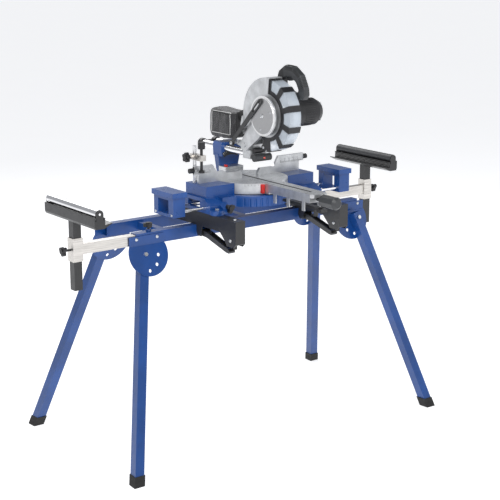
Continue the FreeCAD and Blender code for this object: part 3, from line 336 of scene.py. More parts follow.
def finish(name):
    """A finish by its plain name, made once."""
    if not FINISHES:
        chosen = settings("finish")
        blue, silver, black = tuple(chosen.blue), tuple(chosen.silver), tuple(chosen.black)
        FINISHES.update({
            "blue paint": painted("Blue powder coat", blue, 0.34),
            "blue casting": painted("Blue painted casting", shade(blue, 1.1), 0.3, 0.00018),
            "black paint": painted("Black powder coat", (0.016, 0.016, 0.017), 0.38),
            "casting": casting("Bare casting", silver),
            "machined": brushed("Machined table", shade(silver, 1.15), 0.3, (0.05, 1, 1)),
            "anodised": brushed("Silver arm tube", (0.72, 0.69, 0.65), 0.34, (0.03, 1, 1)),
            "chrome": polished("Hard chrome", (0.86, 0.86, 0.87)),
            "zinc": brushed("Zinc plated steel", (0.68, 0.69, 0.7), 0.3, (1, 1, 1)),
            "black plastic": moulded("Black moulded plastic", black, 0.42),
            "grey plastic": moulded("Dark grey moulded plastic", (0.035, 0.037, 0.04), 0.4),
            "rubber": moulded("Black rubber", (0.012, 0.012, 0.012), 0.72, 700, 0.0002),
            "red": moulded("Red plastic", (0.62, 0.02, 0.015), 0.38),
            "white print": moulded("White print", (0.75, 0.75, 0.74), 0.5),
            "black print": moulded("Black print", (0.02, 0.02, 0.02), 0.5),
            "lens": polished("Laser lens", (0.55, 0.12, 0.1), 0.03),
            "fabric": woven("Black bag fabric", (0.012, 0.012, 0.0135)),
            "clear": clear_plastic("Clear guard plastic", tuple(chosen.clear)),
            "blade": ringed("Blade", (0.02, 0.02, 0.022), (0.6, 0.6, 0.61), BLADE_PAINT_RADIUS, 0.85, 0.3),
            # The cover's near-white outer ring is a painted highlight on its bevelled rim; the grey inside is
            # its own colour.
            "cover": ringed("Arbor cover with painted rim highlight", (0.4, 0.4, 0.405), (0.82, 0.82, 0.82), COVER_HIGHLIGHT_RADIUS, 0.75, 0.34),
        })
    return FINISHES[name]


NODE_FINISH = {
    "blue paint": ("front_beam", "rear_beam", "cross_members", "leg_plates", "leg_front_left",
                   "leg_front_right", "leg_rear_left", "leg_rear_right"),
    "blue casting": ("base_casting", "extension_left", "extension_right", "bevel_post"),
    "black paint": ("post_left", "post_right", "support_left", "support_right", "bracket_left",
                    "bracket_right", "bracket_lever_left", "bracket_lever_right", "detent_lever", "guard_link"),
    "casting": ("fence_rail", "fence_left", "fence_right", "pivot_carrier", "head_arm"),
    "machined": ("turntable",),
    "anodised": ("arm_left", "arm_right", "clamp_arm"),
    "chrome": ("roller_left", "clamp_post", "slide_rails"),
    "zinc": ("leg_bolts", "base_bolts"),
    "black plastic": ("post_knob_left", "post_knob_right", "arm_knob_left", "arm_knob_right", "clamp_screw",
                      "extension_screw_left", "extension_screw_right", "clamp_knob", "kerf_insert",
                      "bevel_lever", "rail_caps", "motor_housing", "trigger", "guard_frame"),
    "grey plastic": ("mitre_handle", "laser_unit", "handle", "roller_right"),
    "fabric": ("dust_bag",),
    "clear": ("lower_guard",),
    "blade": ("blade",),
    "cover": ("guard_cover",),
}


def second_finish(node, name, test):
    """Gives the faces of a node that pass a test on their centre a finish of their own."""
    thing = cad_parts[node]
    thing.data.materials.append(finish(name))
    extra = len(thing.data.materials) - 1
    for face in thing.data.polygons:
        if test(face.center):
            face.material_index = extra


def finish_frame():
    """Puts a finish on every node of the frame."""
    for name, nodes in NODE_FINISH.items():
        for node in nodes:
            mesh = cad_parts[node].data
            mesh.materials.clear()
            mesh.materials.append(finish(name))
    for row in ("front", "rear"):
        for side in ("left", "right"):
            second_finish(f"leg_{row}_{side}", "rubber", lambda spot: spot.z < FOOT_TOP)
    for side in ("left", "right"):
        inner = min(abs(corner.x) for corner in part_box("extension_" + side)) + EXTENSION_ROD_LENGTH
        second_finish("extension_" + side, "chrome", lambda spot, inner=inner: abs(spot.x) < inner)
    lens_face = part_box("laser_unit")[0].y + 1 * MM
    second_finish("laser_unit", "lens", lambda spot: spot.y < lens_face)
    fence_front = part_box("fence_left")[0].x + FENCE_KNOB_LENGTH
    second_finish("fence_left", "black plastic", lambda spot: spot.x < fence_front)
    fence_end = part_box("fence_right")[1].x - FENCE_KNOB_LENGTH
    second_finish("fence_right", "black plastic", lambda spot: spot.x > fence_end)
    pin_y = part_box("turntable")[1].y - TILT_PIN_LENGTH
    second_finish("turntable", "casting", lambda spot: spot.z < TABLE - 1 * MM or spot.y > pin_y)


# ---------------------------------------------------------------- mesh tools

def add_mesh(name, mesh, material):
    """A new object at the origin with that mesh and finish."""
    thing = bpy.data.objects.new(name, mesh)
    bpy.context.scene.collection.objects.link(thing)
    mesh.materials.clear()
    mesh.materials.append(finish(material))
    return thing


def from_bmesh(name, shape, material, smooth=True):
    """An object from a bmesh, with its normals outwards."""
    bmesh.ops.recalc_face_normals(shape, faces=shape.faces)
    mesh = bpy.data.meshes.new(name)
    shape.to_mesh(mesh)
    shape.free()
    thing = add_mesh(name, mesh, material)
    for face in mesh.polygons:
        face.use_smooth = smooth
    return thing


def loft(shape, rings):
    """Closes a row of equal rings into a capped skin."""
    around = len(rings[0])
    for first, second in zip(rings, rings[1:]):
        for k in range(around):
            shape.faces.new((first[k], first[(k + 1) % around], second[(k + 1) % around], second[k]))
    shape.faces.new(rings[0])
    shape.faces.new(rings[-1])


def settled(thing):
    """Applies every modifier of an object and returns it with a plain mesh."""
    bpy.context.view_layer.update()
    graph = bpy.context.evaluated_depsgraph_get()
    mesh = bpy.data.meshes.new_from_object(thing.evaluated_get(graph))
    thing.modifiers.clear()
    old = thing.data
    thing.data = mesh
    if old.users == 0 and isinstance(old, bpy.types.Mesh):
        bpy.data.meshes.remove(old)
    return thing


def rounded(thing, width, segments=2):
    """Bevels sharp edges."""
    bevel = thing.modifiers.new("Round edges", "BEVEL")
    bevel.width = width
    bevel.segments = segments
    bevel.limit_method = "ANGLE"
    return settled(thing)


def block(name, low, high, material, edge=0.0006):
    """A small moulded or machined block with rounded edges."""
    shape = bmesh.new()
    bmesh.ops.create_cube(shape, size=1)
    low, high = Vector(low), Vector(high)
    bmesh.ops.scale(shape, vec=high - low, verts=shape.verts)
    bmesh.ops.translate(shape, vec=(low + high) / 2, verts=shape.verts)
    return rounded(from_bmesh(name, shape, material, smooth=False), edge)


def joined(name, things):
    """One object from several that share a finish."""
    shape = bmesh.new()
    for thing in things:
        shape.from_mesh(thing.data)
    mesh = bpy.data.meshes.new(name)
    shape.to_mesh(mesh)
    shape.free()
    for material in things[0].data.materials:
        mesh.materials.append(material)
    made = bpy.data.objects.new(name, mesh)
    bpy.context.scene.collection.objects.link(made)
    for thing in things:
        bpy.data.objects.remove(thing)
    return made


def repeat_tree(name, layout, item):
    """A node tree that copies an item along a line or round a circle, with named sizes."""
    tree = bpy.data.node_groups.new(name, "GeometryNodeTree")
    tree.interface.new_socket("Geometry", in_out="OUTPUT", socket_type="NodeSocketGeometry")
    tree.interface.new_socket("Count", in_out="INPUT", socket_type="NodeSocketInt")
    tree.interface.new_socket("Step", in_out="INPUT", socket_type="NodeSocketVector")
    tree.interface.new_socket("Radius", in_out="INPUT", socket_type="NodeSocketFloat")
    tree.interface.new_socket("Size", in_out="INPUT", socket_type="NodeSocketVector")
    tree.interface.new_socket("Finish", in_out="INPUT", socket_type="NodeSocketMaterial")
    nodes, links = tree.nodes, tree.links
    given = nodes.new("NodeGroupInput")
    result = nodes.new("NodeGroupOutput")
    copies = nodes.new("GeometryNodeInstanceOnPoints")
    if layout == "line":
        points = nodes.new("GeometryNodeMeshLine")
        links.new(given.outputs["Count"], points.inputs["Count"])
        links.new(given.outputs["Step"], points.inputs["Offset"])
    else:
        points = nodes.new("GeometryNodeMeshCircle")
        links.new(given.outputs["Count"], points.inputs["Vertices"])
        links.new(given.outputs["Radius"], points.inputs["Radius"])
        turn = nodes.new("FunctionNodeAlignEulerToVector")
        turn.axis = "X"
        place = nodes.new("GeometryNodeInputPosition")
        links.new(place.outputs["Position"], turn.inputs["Vector"])
        links.new(turn.outputs["Rotation"], copies.inputs["Rotation"])
    if item == "block":
        made = nodes.new("GeometryNodeMeshCube")
        links.new(given.outputs["Size"], made.inputs["Size"])
    else:
        made = nodes.new("GeometryNodeMeshUVSphere")
        made.inputs["Segments"].default_value = 12
        made.inputs["Rings"].default_value = 6
        made.inputs["Radius"].default_value = 0.5
        links.new(given.outputs["Size"], copies.inputs["Scale"])
    real = nodes.new("GeometryNodeRealizeInstances")
    paint = nodes.new("GeometryNodeSetMaterial")
    links.new(points.outputs["Mesh"], copies.inputs["Points"])
    links.new(made.outputs["Mesh"], copies.inputs["Instance"])
    links.new(copies.outputs["Instances"], real.inputs["Geometry"])
    links.new(real.outputs["Geometry"], paint.inputs["Geometry"])
    links.new(given.outputs["Finish"], paint.inputs["Material"])
    links.new(paint.outputs["Geometry"], result.inputs["Geometry"])
    return tree


def repeated(name, layout, item, count, size, material, step=(0, 0, 0), radius=0.0, place=None):
    """A row or ring of equal small pieces, as one plain mesh."""
    tree_name = f"{layout.title()} of {item}s"
    tree = bpy.data.node_groups.get(tree_name) or repeat_tree(tree_name, layout, item)
    thing = bpy.data.objects.new(name, bpy.data.meshes.new(name))
    bpy.context.scene.collection.objects.link(thing)
    modifier = thing.modifiers.new("Repeat", "NODES")
    modifier.node_group = tree
    values = {"Count": count, "Step": step, "Radius": radius, "Size": size, "Finish": finish(material)}
    for socket in tree.interface.items_tree:
        if socket.in_out == "INPUT":
            modifier[socket.identifier] = values[socket.name]
    thing = settled(thing)
    thing.data.transform(place or Matrix.Identity(4))
    return thing


def mesh_of(name, curve):
    """The mesh that a curve or a text makes."""
    thing = bpy.data.objects.new(name, curve)
    bpy.context.scene.collection.objects.link(thing)
    bpy.context.view_layer.update()
    mesh = bpy.data.meshes.new_from_object(thing.evaluated_get(bpy.context.evaluated_depsgraph_get()))
    bpy.data.objects.remove(thing)
    return mesh


def printed(name, text, height, place, material):
    """A number as a thin raised print."""
    curve = bpy.data.curves.new(name, "FONT")
    curve.body = text
    curve.size = height
    curve.extrude = 0.00015
    curve.align_x = "CENTER"
    curve.resolution_u = 3
    mesh = mesh_of(name, curve)
    mesh.transform(place)
    return add_mesh(name, mesh, material)


FACING_FRONT = Matrix.Rotation(math.pi / 2, 4, "X")
TOWARDS_RIGHT = Vector((1, 0, 0))


# ---------------------------------------------------------------- dust bag

def bag_shape(share):
    """The bag's full outline as a lofted shell: narrow and high at the neck, deep and square at the back."""
    low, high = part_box("dust_bag")
    front = low.y + 36 * MM
    depth = high.y - front
    middle_x = (low.x + high.x) / 2
    half = (high.x - low.x) / 2
    shape = bmesh.new()
    rings = []
    sections, around = 13, 36
    for i in range(sections):
        t = i / (sections - 1)
        grow = min(1.0, 0.72 + 1.4 * t)
        end = 1 - 0.16 * max(0.0, (t - 0.86) / 0.14) ** 2
        top = high.z - 3 * MM - 9 * MM * (1 - t) - 3 * MM * math.sin(math.pi * t)
        bottom = low.z + 3 * MM + 20 * MM * max(0.0, 0.3 - t) / 0.3
        centre = Vector((middle_x, front + depth * (0.02 + 0.96 * t), (top + bottom) / 2))
        ring = []
        for k in range(around):
            turn = 2 * math.pi * k / around
            c, s = math.cos(turn), math.sin(turn)
            power = 0.34
            across = math.copysign(abs(c) ** power, c) * half * grow * end
            up = math.copysign(abs(s) ** power, s) * (top - bottom) / 2 * end
            ring.append(shape.verts.new(centre + Vector((across, 0, up)) * share))
        rings.append(ring)
    loft(shape, rings)
    return shape


def settle_cloth(thing, chosen):
    """Swells the bag as cloth, then keeps every point within the largest bulge."""
    remesh = thing.modifiers.new("Even mesh", "REMESH")
    remesh.mode = "VOXEL"
    remesh.voxel_size = chosen.voxel
    settled(thing)
    start = [point.co.copy() for point in thing.data.vertices]
    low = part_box("dust_bag")[0]
    pinned = thing.vertex_groups.new(name="Held")
    pinned.add([i for i, spot in enumerate(start) if spot.y < low.y + 44 * MM], 1.0, "REPLACE")
    cloth = thing.modifiers.new("Cloth", "CLOTH")
    cloth.settings.quality = 6
    cloth.settings.mass = 0.25
    cloth.settings.tension_stiffness = 12
    cloth.settings.compression_stiffness = 8
    cloth.settings.bending_stiffness = 0.6
    cloth.settings.use_pressure = True
    cloth.settings.uniform_pressure_force = chosen.pressure
    cloth.settings.vertex_group_mass = pinned.name
    cloth.settings.effector_weights.gravity = 0.35
    cloth.point_cache.frame_start = 1
    cloth.point_cache.frame_end = 20
    for frame_number in range(1, 21):
        bpy.context.scene.frame_set(frame_number)
    settled(thing)
    bpy.context.scene.frame_set(1)
    for point, origin in zip(thing.data.vertices, start):
        move = point.co - origin
        if move.length > chosen.bulge:
            point.co = origin + move.normalized() * chosen.bulge


def crease(spot, low, high):
    """How far a point of the bag sinks in folds that hang from its upper seams."""
    depth = (high.z - spot.z) / (high.z - low.z)
    folds = noise.noise(Vector((spot.x * 20, spot.y * 34 + spot.z * 6, spot.z * 12)))
    fine = noise.noise(Vector((spot.x * 60, spot.y * 90, spot.z * 40)) + Vector((7, 3, 1)))
    return (3.2 * folds * (0.4 + 0.6 * depth) + 0.9 * fine) * MM


def make_bag(chosen):
    """The black dust bag."""
    thing = from_bmesh("dust_bag_cloth", bag_shape(chosen.shrink), "fabric")
    settle_cloth(thing, chosen)
    low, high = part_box("dust_bag")
    subdivision = thing.modifiers.new("Smooth", "SUBSURF")
    subdivision.levels = subdivision.render_levels = 1
    settled(thing)
    normals = [point.normal.copy() for point in thing.data.vertices]
    for point, outward in zip(thing.data.vertices, normals):
        point.co += outward * crease(point.co, low, high)
    for face in thing.data.polygons:
        face.use_smooth = True
    thing.data.materials.clear()
    thing.data.materials.append(finish("fabric"))
    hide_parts("dust_bag")
    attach(thing, "head")
    return thing


def tube_piece(name, points, radius, material):
    """A smooth rounded bar along points, as a mesh."""
    curve = bpy.data.curves.new(name, "CURVE")
    curve.dimensions = "3D"
    curve.bevel_depth = radius
    curve.bevel_resolution = 3
    curve.resolution_u = 5
    curve.use_fill_caps = True
    spline = curve.splines.new("BEZIER")
    spline.bezier_points.add(len(points) - 1)
    for knot, spot in zip(spline.bezier_points, points):
        knot.co = spot
        knot.handle_left_type = knot.handle_right_type = "AUTO"
    mesh = mesh_of(name, curve)
    made = add_mesh(name, mesh, material)
    for face in mesh.polygons:
        face.use_smooth = True
    return made


def on_surface(thing, spot, direction, lift):
    """The point where a line meets a piece's surface, or else the nearest one, lifted off it."""
    hit, place, outward, _ = thing.ray_cast(spot, direction)
    if not hit:
        _, place, outward, _ = thing.closest_point_on_mesh(spot)
    return place + outward * lift


def make_bag_trim(bag):
    """Piping, the framed patch on the left side, the zip and the collar of the dust bag."""
    low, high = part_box("dust_bag")
    made = []
    beside = low.x - 30 * MM
    end_face = max(point.co.y for point in bag.data.vertices)
    front, back = low.y + 66 * MM, end_face - 24 * MM
    bottom, top = low.z + 26 * MM, high.z - 26 * MM
    corners = [(front, bottom), (back, bottom), (back, top), (front, top)]
    for number, (start, end) in enumerate(zip(corners, corners[1:] + corners[:1])):
        steps = 12
        line = []
        for i in range(steps + 1):
            y = start[0] + (end[0] - start[0]) * i / steps
            z = start[1] + (end[1] - start[1]) * i / steps
            line.append(on_surface(bag, Vector((beside, y, z)), TOWARDS_RIGHT, 0.4 * MM))
        made.append(tube_piece(f"patch_edge_{number}", line, 1.0 * MM, "white print"))
    frame_piece = joined("bag_patch_frame", made)
    seam = []
    steps = 26
    for i in range(steps + 1):
        t = i / steps
        y = low.y + 52 * MM + (end_face - low.y - 70 * MM) * t
        seam.append(on_surface(bag, Vector((beside, y, high.z - 13 * MM)), TOWARDS_RIGHT, 0.5 * MM))
    piping = tube_piece("bag_piping", seam, 1.5 * MM, "rubber")
    zip_line = []
    for i in range(13):
        z = low.z + 18 * MM + (high.z - low.z - 36 * MM) * i / 12
        zip_line.append(on_surface(bag, Vector(((low.x + high.x) / 2, high.y + 30 * MM, z)), Vector((0, -1, 0)),
                                   0.3 * MM))
    zipper = tube_piece("bag_zip", zip_line, 2.0 * MM, "black plastic")
    neck_z = high.z - 34 * MM
    collar = ring_piece("bag_collar", Vector((0, 0, neck_z)), 17.6 * MM, 21 * MM,
                        low.y, low.y + 42 * MM, "rubber")
    for piece in (frame_piece, piping, zipper, collar):
        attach(piece, "head")


def ring_piece(name, centre, inner, outer, start, end, material, ribs=5):
    """A ribbed sleeve along Y."""
    shape = bmesh.new()
    profile = [(inner, start)]
    steps = ribs * 2
    for i in range(steps + 1):
        radius = outer if i % 2 else outer - 1.4 * MM
        profile.append((radius, start + (end - start) * i / steps))
    profile.append((inner, end))
    around = 40
    rings = []
    for k in range(around):
        turn = 2 * math.pi * k / around
        rings.append([shape.verts.new((centre.x + r * math.cos(turn), y, centre.z + r * math.sin(turn)))
                      for r, y in profile])
    count = len(profile)
    for k in range(around):
        first, second = rings[k], rings[(k + 1) % around]
        for i in range(count):
            shape.faces.new((first[i], first[(i + 1) % count], second[(i + 1) % count], second[i]))
    return from_bmesh(name, shape, material)


# ---------------------------------------------------------------- handle and motor

def make_handle():
    """The D-handle with every edge rounded off, its black root and the ribs of its grip."""
    shape = bmesh.new()
    shape.from_mesh(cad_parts["handle"].data)
    bmesh.ops.remove_doubles(shape, verts=shape.verts, dist=0.01 * MM)
    body = from_bmesh("handle_body", shape, "grey plastic")
    remesh = body.modifiers.new("One skin", "REMESH")
    remesh.mode = "VOXEL"
    remesh.voxel_size = 1.5 * MM
    soften = body.modifiers.new("Soften", "SMOOTH")
    soften.factor = 0.6
    soften.iterations = 22
    settled(body)
    body.data.materials.clear()
    for name in ("grey plastic", "black plastic"):
        body.data.materials.append(finish(name))
    root_face = ARBOR.y - 20 * MM
    for face in body.data.polygons:
        face.use_smooth = True
        face.material_index = int(face.center.y > root_face)
    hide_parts("handle")
    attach(body, "head")
    low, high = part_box("handle")

    def at(back, up):
        return Vector(((low.x + high.x) / 2, ARBOR.y + back * MM, TABLE + up * MM))

    path = [at(-30, 395), at(-70, 393), at(-100, 372), at(-118, 342)]
    ribs = []
    for i in range(21):
        t = i / 20 * (len(path) - 1)
        k = min(int(t), len(path) - 2)
        spot = path[k].lerp(path[k + 1], t - k)
        along = (path[k + 1] - path[k]).normalized()
        outward = Vector((0, along.z, -along.y))
        if outward.dot(spot - at(-55, 345)) < 0:
            outward.negate()
        arc = []
        for j in range(9):
            turn = math.radians(-78 + 156 * j / 8)
            away = outward * math.cos(turn) + Vector((math.sin(turn), 0, 0))
            arc.append(on_surface(body, spot + away * 60 * MM, -away, 0.1 * MM))
        ribs.append(tube_piece(f"grip_rib_{i}", arc, 0.8 * MM, "rubber"))
    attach(joined("handle_grip_ribs", ribs), "head")


def make_motor_trim():
    """Cooling ribs round the motor, and the vents and screws of its end."""
    low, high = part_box("motor_housing")
    radius = (high.y - low.y) / 2

    def ring_at(x):
        return Matrix.Translation((x, ARBOR.y, ARBOR.z)) @ Matrix.Rotation(math.pi / 2, 4, "Y")

    fins = repeated("motor_ribs", "circle", "block", 36, (2.2 * MM, 2.4 * MM, 44 * MM), "black plastic",
                    radius=radius + 0.2 * MM, place=ring_at(low.x + 72 * MM))
    slots = repeated("motor_vents", "circle", "block", 18, (14 * MM, 3 * MM, 2 * MM), "rubber",
                     radius=radius * 0.48, place=ring_at(high.x - 0.2 * MM))
    screws = repeated("motor_screws", "circle", "sphere", 4, (7 * MM, 7 * MM, 5 * MM), "zinc",
                      radius=radius * 0.86,
                      place=ring_at(high.x - 7 * MM) @ Matrix.Rotation(math.pi / 4, 4, "Z"))
    for piece in (fins, slots, screws):
        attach(piece, "head")


# ---------------------------------------------------------------- scales, pointers and fixings

def make_fence_scale(side, chosen):
    """Marks and numbers on the front face of an upper fence."""
    low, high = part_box("fence_" + side)
    start, end = low.x + 26 * MM, high.x - 24 * MM
    if side == "left":
        start, end = low.x + 24 * MM, high.x - 26 * MM
    face = low.y + 2.6 * MM
    marks = []
    count = int((end - start) / chosen.pitch) + 1
    base = low.z + 1.0 * MM
    for name, every, height in (("short", 1, 5), ("long", 4, 9)):
        tall = height * MM
        marks.append(repeated(f"marks_{name}_{side}", "line", "block", (count - 1) // every + 1,
                              (0.7 * MM, 0.5 * MM, tall), "black print", step=(chosen.pitch * every, 0, 0),
                              place=Matrix.Translation((start, face, base + tall / 2))))
    for i in range(0, count, 4):
        spot = Matrix.Translation((start + chosen.pitch * i, face - 0.25 * MM, base + 11 * MM))
        number = str(abs(int(round((start + chosen.pitch * i) / (10 * MM)))))
        marks.append(printed(f"digit_{side}_{i}", number, chosen.digit_height, spot @ FACING_FRONT,
                             "black print"))
    scale = joined("fence_scale_" + side, marks)
    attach(scale, "fence_" + side)


def make_mitre_scale():
    """Angle marks round the front of the drum, and the red pointer beside the arm."""
    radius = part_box("turntable")[1].x
    marks = []
    for i in range(-9, 10):
        if abs(i) < 3:
            continue
        turn = math.radians(i * 5.0)
        tall = (7 if i % 3 == 0 else 4.5) * MM
        mark = block(f"mitre_mark_{i}", (-0.4 * MM, -radius - 0.25 * MM, TABLE - 3 * MM - tall),
                     (0.4 * MM, -radius + 0.4 * MM, TABLE - 3 * MM), "black print", MARK_EDGE)
        mark.data.transform(Matrix.Rotation(turn, 4, "Z"))
        marks.append(mark)
    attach(joined("mitre_scale", marks), "turntable")
    pointer = block("mitre_pointer", (-50 * MM, -radius - 1.5 * MM, TABLE - 35 * MM),
                    (-38 * MM, -radius + 12 * MM, TABLE - 3 * MM), "red", 1.5 * MM)
    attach(pointer, "turntable")


def make_tilt_scale():
    """A black quadrant with angle marks on the tilt housing, and its red pointer."""
    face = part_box("bevel_post")[0].y
    centre = Vector((0, face, TABLE))
    shape = bmesh.new()
    inner, outer, steps = 64 * MM, 82 * MM, 20
    rings = []
    for depth in (0.0, -1.2 * MM):
        for radius in (inner, outer):
            rings.append([shape.verts.new(centre + Vector((-radius * math.sin(a), depth, radius * math.cos(a))))
                          for a in [math.radians(-28 + 56 * i / steps) for i in range(steps + 1)]])
    for i in range(steps):
        for a, b in ((0, 1), (1, 3), (3, 2), (2, 0)):
            shape.faces.new((rings[a][i], rings[a][i + 1], rings[b][i + 1], rings[b][i]))
    for i in (0, steps):
        shape.faces.new((rings[0][i], rings[1][i], rings[3][i], rings[2][i]))
    plate = from_bmesh("tilt_scale_plate", shape, "black plastic", smooth=False)
    marks = []
    for i in range(-5, 6):
        tall = (8 if i % 5 == 0 else 5) * MM
        mark = block(f"tilt_mark_{i}", (-0.4 * MM, face - 1.5 * MM, TABLE + outer - tall - 1 * MM),
                     (0.4 * MM, face - 1.1 * MM, TABLE + outer - 1 * MM), "white print", MARK_EDGE)
        around = Matrix.Translation((0, 0, TABLE)) @ Matrix.Rotation(math.radians(i * 5.0), 4, "Y")
        mark.data.transform(around @ Matrix.Translation((0, 0, -TABLE)))
        marks.append(mark)
    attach(plate, "bevel_post")
    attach(joined("tilt_scale_marks", marks), "bevel_post")
    pointer = block("tilt_pointer", (-33 * MM, 100 * MM, TABLE + 24.2 * MM),
                    (-27 * MM, 116 * MM, TABLE + 31 * MM), "red", 1 * MM)
    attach(pointer, "turntable")


def button_head(name, spot, axis, radius, material="zinc"):
    """A domed screw head with a round socket, its crown along an axis."""
    shape = bmesh.new()
    around, rings = 24, []
    profile = [(1.0, 0.0), (1.0, 0.12), (0.9, 0.34), (0.7, 0.48), (0.46, 0.54), (0.44, 0.2)]
    for across, up in profile:
        rings.append([shape.verts.new((radius * across * math.cos(2 * math.pi * k / around),
                                       radius * across * math.sin(2 * math.pi * k / around), radius * up))
                      for k in range(around)])
    loft(shape, rings)
    thing = from_bmesh(name, shape, material, smooth=False)
    turn = Vector((0, 0, 1)).rotation_difference(Vector(axis)).to_matrix().to_4x4()
    thing.data.transform(Matrix.Translation(spot) @ turn)
    return thing


def make_fixings():
    """Screw heads on the cover, the head, the extensions and the brackets."""
    cover_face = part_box("guard_cover")[0].x
    cover = [button_head("cover_bolt", (cover_face, ARBOR.y, ARBOR.z), (-1, 0, 0), 8 * MM)]
    for angle in (20, 140, 260):
        turn = math.radians(angle)
        spot = (cover_face, ARBOR.y - COVER_SCREW_RADIUS * math.cos(turn),
                ARBOR.z + COVER_SCREW_RADIUS * math.sin(turn))
        cover.append(button_head(f"cover_screw_{angle}", spot, (-1, 0, 0), 4 * MM))
    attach(joined("cover_screws", cover), "head")
    link_low, link_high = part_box("guard_link")
    pivot = button_head("link_pivot_head", (link_low.x + 1.9 * MM, link_high.y - LINK_PIN_INSET,
                                             link_low.z + LINK_PIN_INSET),
                        (-1, 0, 0), 7 * MM)
    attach(pivot, "carriage")
    for side, sign in (("left", -1), ("right", 1)):
        low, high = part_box("bracket_" + side)
        middle = (low.x + high.x) / 2
        heads = [button_head(f"bracket_{side}_{i}", (middle, y, high.z), (0, 0, 1), 6 * MM)
                 for i, y in enumerate((high.y - 16 * MM, low.y + 31 * MM))]
        heads.append(button_head(f"bracket_{side}_nose", (low.x, low.y + 31 * MM, high.z - 70 * MM), (-1, 0, 0),
                                 6 * MM))
        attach(joined(f"bracket_screws_{side}", heads), "saw_base")
        low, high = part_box("extension_" + side)
        outer = low.x if sign < 0 else high.x
        screws = [button_head(f"extension_{side}_{i}", (outer - sign * 6 * MM, y, low.z + 8 * MM), (sign, 0, 0),
                              4.5 * MM) for i, y in enumerate((low.y + 16 * MM, high.y - 16 * MM))]
        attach(joined(f"extension_screws_{side}", screws), "extension_" + side)


def make_stand_details():
    """Rivets on the leg plates' flanges and the weld beads where the cross bars meet the beams."""
    pieces = []
    for beam, sign in (("front_beam", -1), ("rear_beam", 1)):
        low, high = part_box(beam)
        face = (low.y if sign < 0 else high.y) + sign * 3 * MM
        for side in (-1, 1):
            for offset in (-42, 42):
                x = side * LEG_PLATE_X + offset * MM
                spot = (x, face, low.z + 24 * MM)
                pieces.append(button_head(f"rivet_{beam}_{side}_{offset}", spot, (0, sign, 0), 6 * MM))
    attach(joined("flange_rivets", pieces), "stand")
    beads = []
    bars_low, bars_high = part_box("cross_members")
    half = (bars_high.z - bars_low.z) / 2
    for x in (bars_low.x + half, 0, bars_high.x - half):
        for y in (bars_low.y, bars_high.y):
            for z in (bars_low.z, bars_high.z):
                start, end = Vector((x - half, y, z)), Vector((x + half, y, z))
                line = [start.lerp(end, i / 9) + Vector((0, 0, 0.5 * MM * math.sin(i * 2.4)))
                        for i in range(10)]
                beads.append(tube_piece(f"bead_{x:.2f}_{y:.2f}_{z:.2f}", line, 1.8 * MM, "blue paint"))
    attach(joined("weld_beads", beads), "stand")


def make_head_details():
    """The depth stop over the laser, the link's bright insert and the guard roller's screw."""
    low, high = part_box("laser_unit")
    y, z = low.y + 19 * MM, TABLE + 107 * MM
    stop = [cylinder("stop_body", (-34 * MM, y, z), 30 * MM, 9 * MM, "black plastic"),
            cylinder("stop_collar", (-3.5 * MM, y, z), 5 * MM, 7.5 * MM, "zinc"),
            cylinder("stop_end", (2 * MM, y, z), 12 * MM, 9 * MM, "black plastic")]
    bracket = block("stop_bracket", (-26 * MM, y + 6 * MM, z - 12 * MM), (8 * MM, low.y + 35 * MM, z + 4 * MM),
                    "casting", 1 * MM)
    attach(joined("depth_stop", [*stop, bracket]), "carriage")
    low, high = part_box("guard_link")
    start = Vector((0, high.y - LINK_PIN_INSET, low.z + LINK_PIN_INSET))
    end = Vector((0, low.y + 10 * MM, high.z - 10 * MM))
    along = (end - start).normalized()
    insert = block("link_insert", (low.x + 0.6 * MM, -3 * MM, 0), (low.x + 3.4 * MM, 3 * MM, 34 * MM),
                   "zinc", 0.5 * MM)
    lean = Vector((0, 0, 1)).rotation_difference(along).to_matrix().to_4x4()
    insert.data.transform(Matrix.Translation(end - along * 46 * MM) @ lean)
    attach(insert, "link")
    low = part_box("guard_frame")[0]
    turn = math.radians(-101)
    spot = (low.x + 0.3 * MM, ARBOR.y - GUARD_ROLLER_RADIUS * math.cos(turn),
            ARBOR.z + GUARD_ROLLER_RADIUS * math.sin(turn))
    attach(button_head("guard_roller_screw", spot, (-1, 0, 0), 5 * MM), "guard")


def cylinder(name, start, length, radius, material):
    """A round bar along X with softened ends."""
    shape = bmesh.new()
    around = 32
    profile = [(0.0, radius - 1 * MM), (1 * MM, radius), (length - 1 * MM, radius), (length, radius - 1 * MM)]
    rings = [[shape.verts.new((start[0] + x, start[1] + r * math.cos(2 * math.pi * k / around),
                               start[2] + r * math.sin(2 * math.pi * k / around))) for k in range(around)]
             for x, r in profile]
    loft(shape, rings)
    return from_bmesh(name, shape, material, smooth=False)


# ---------------------------------------------------------------- stage

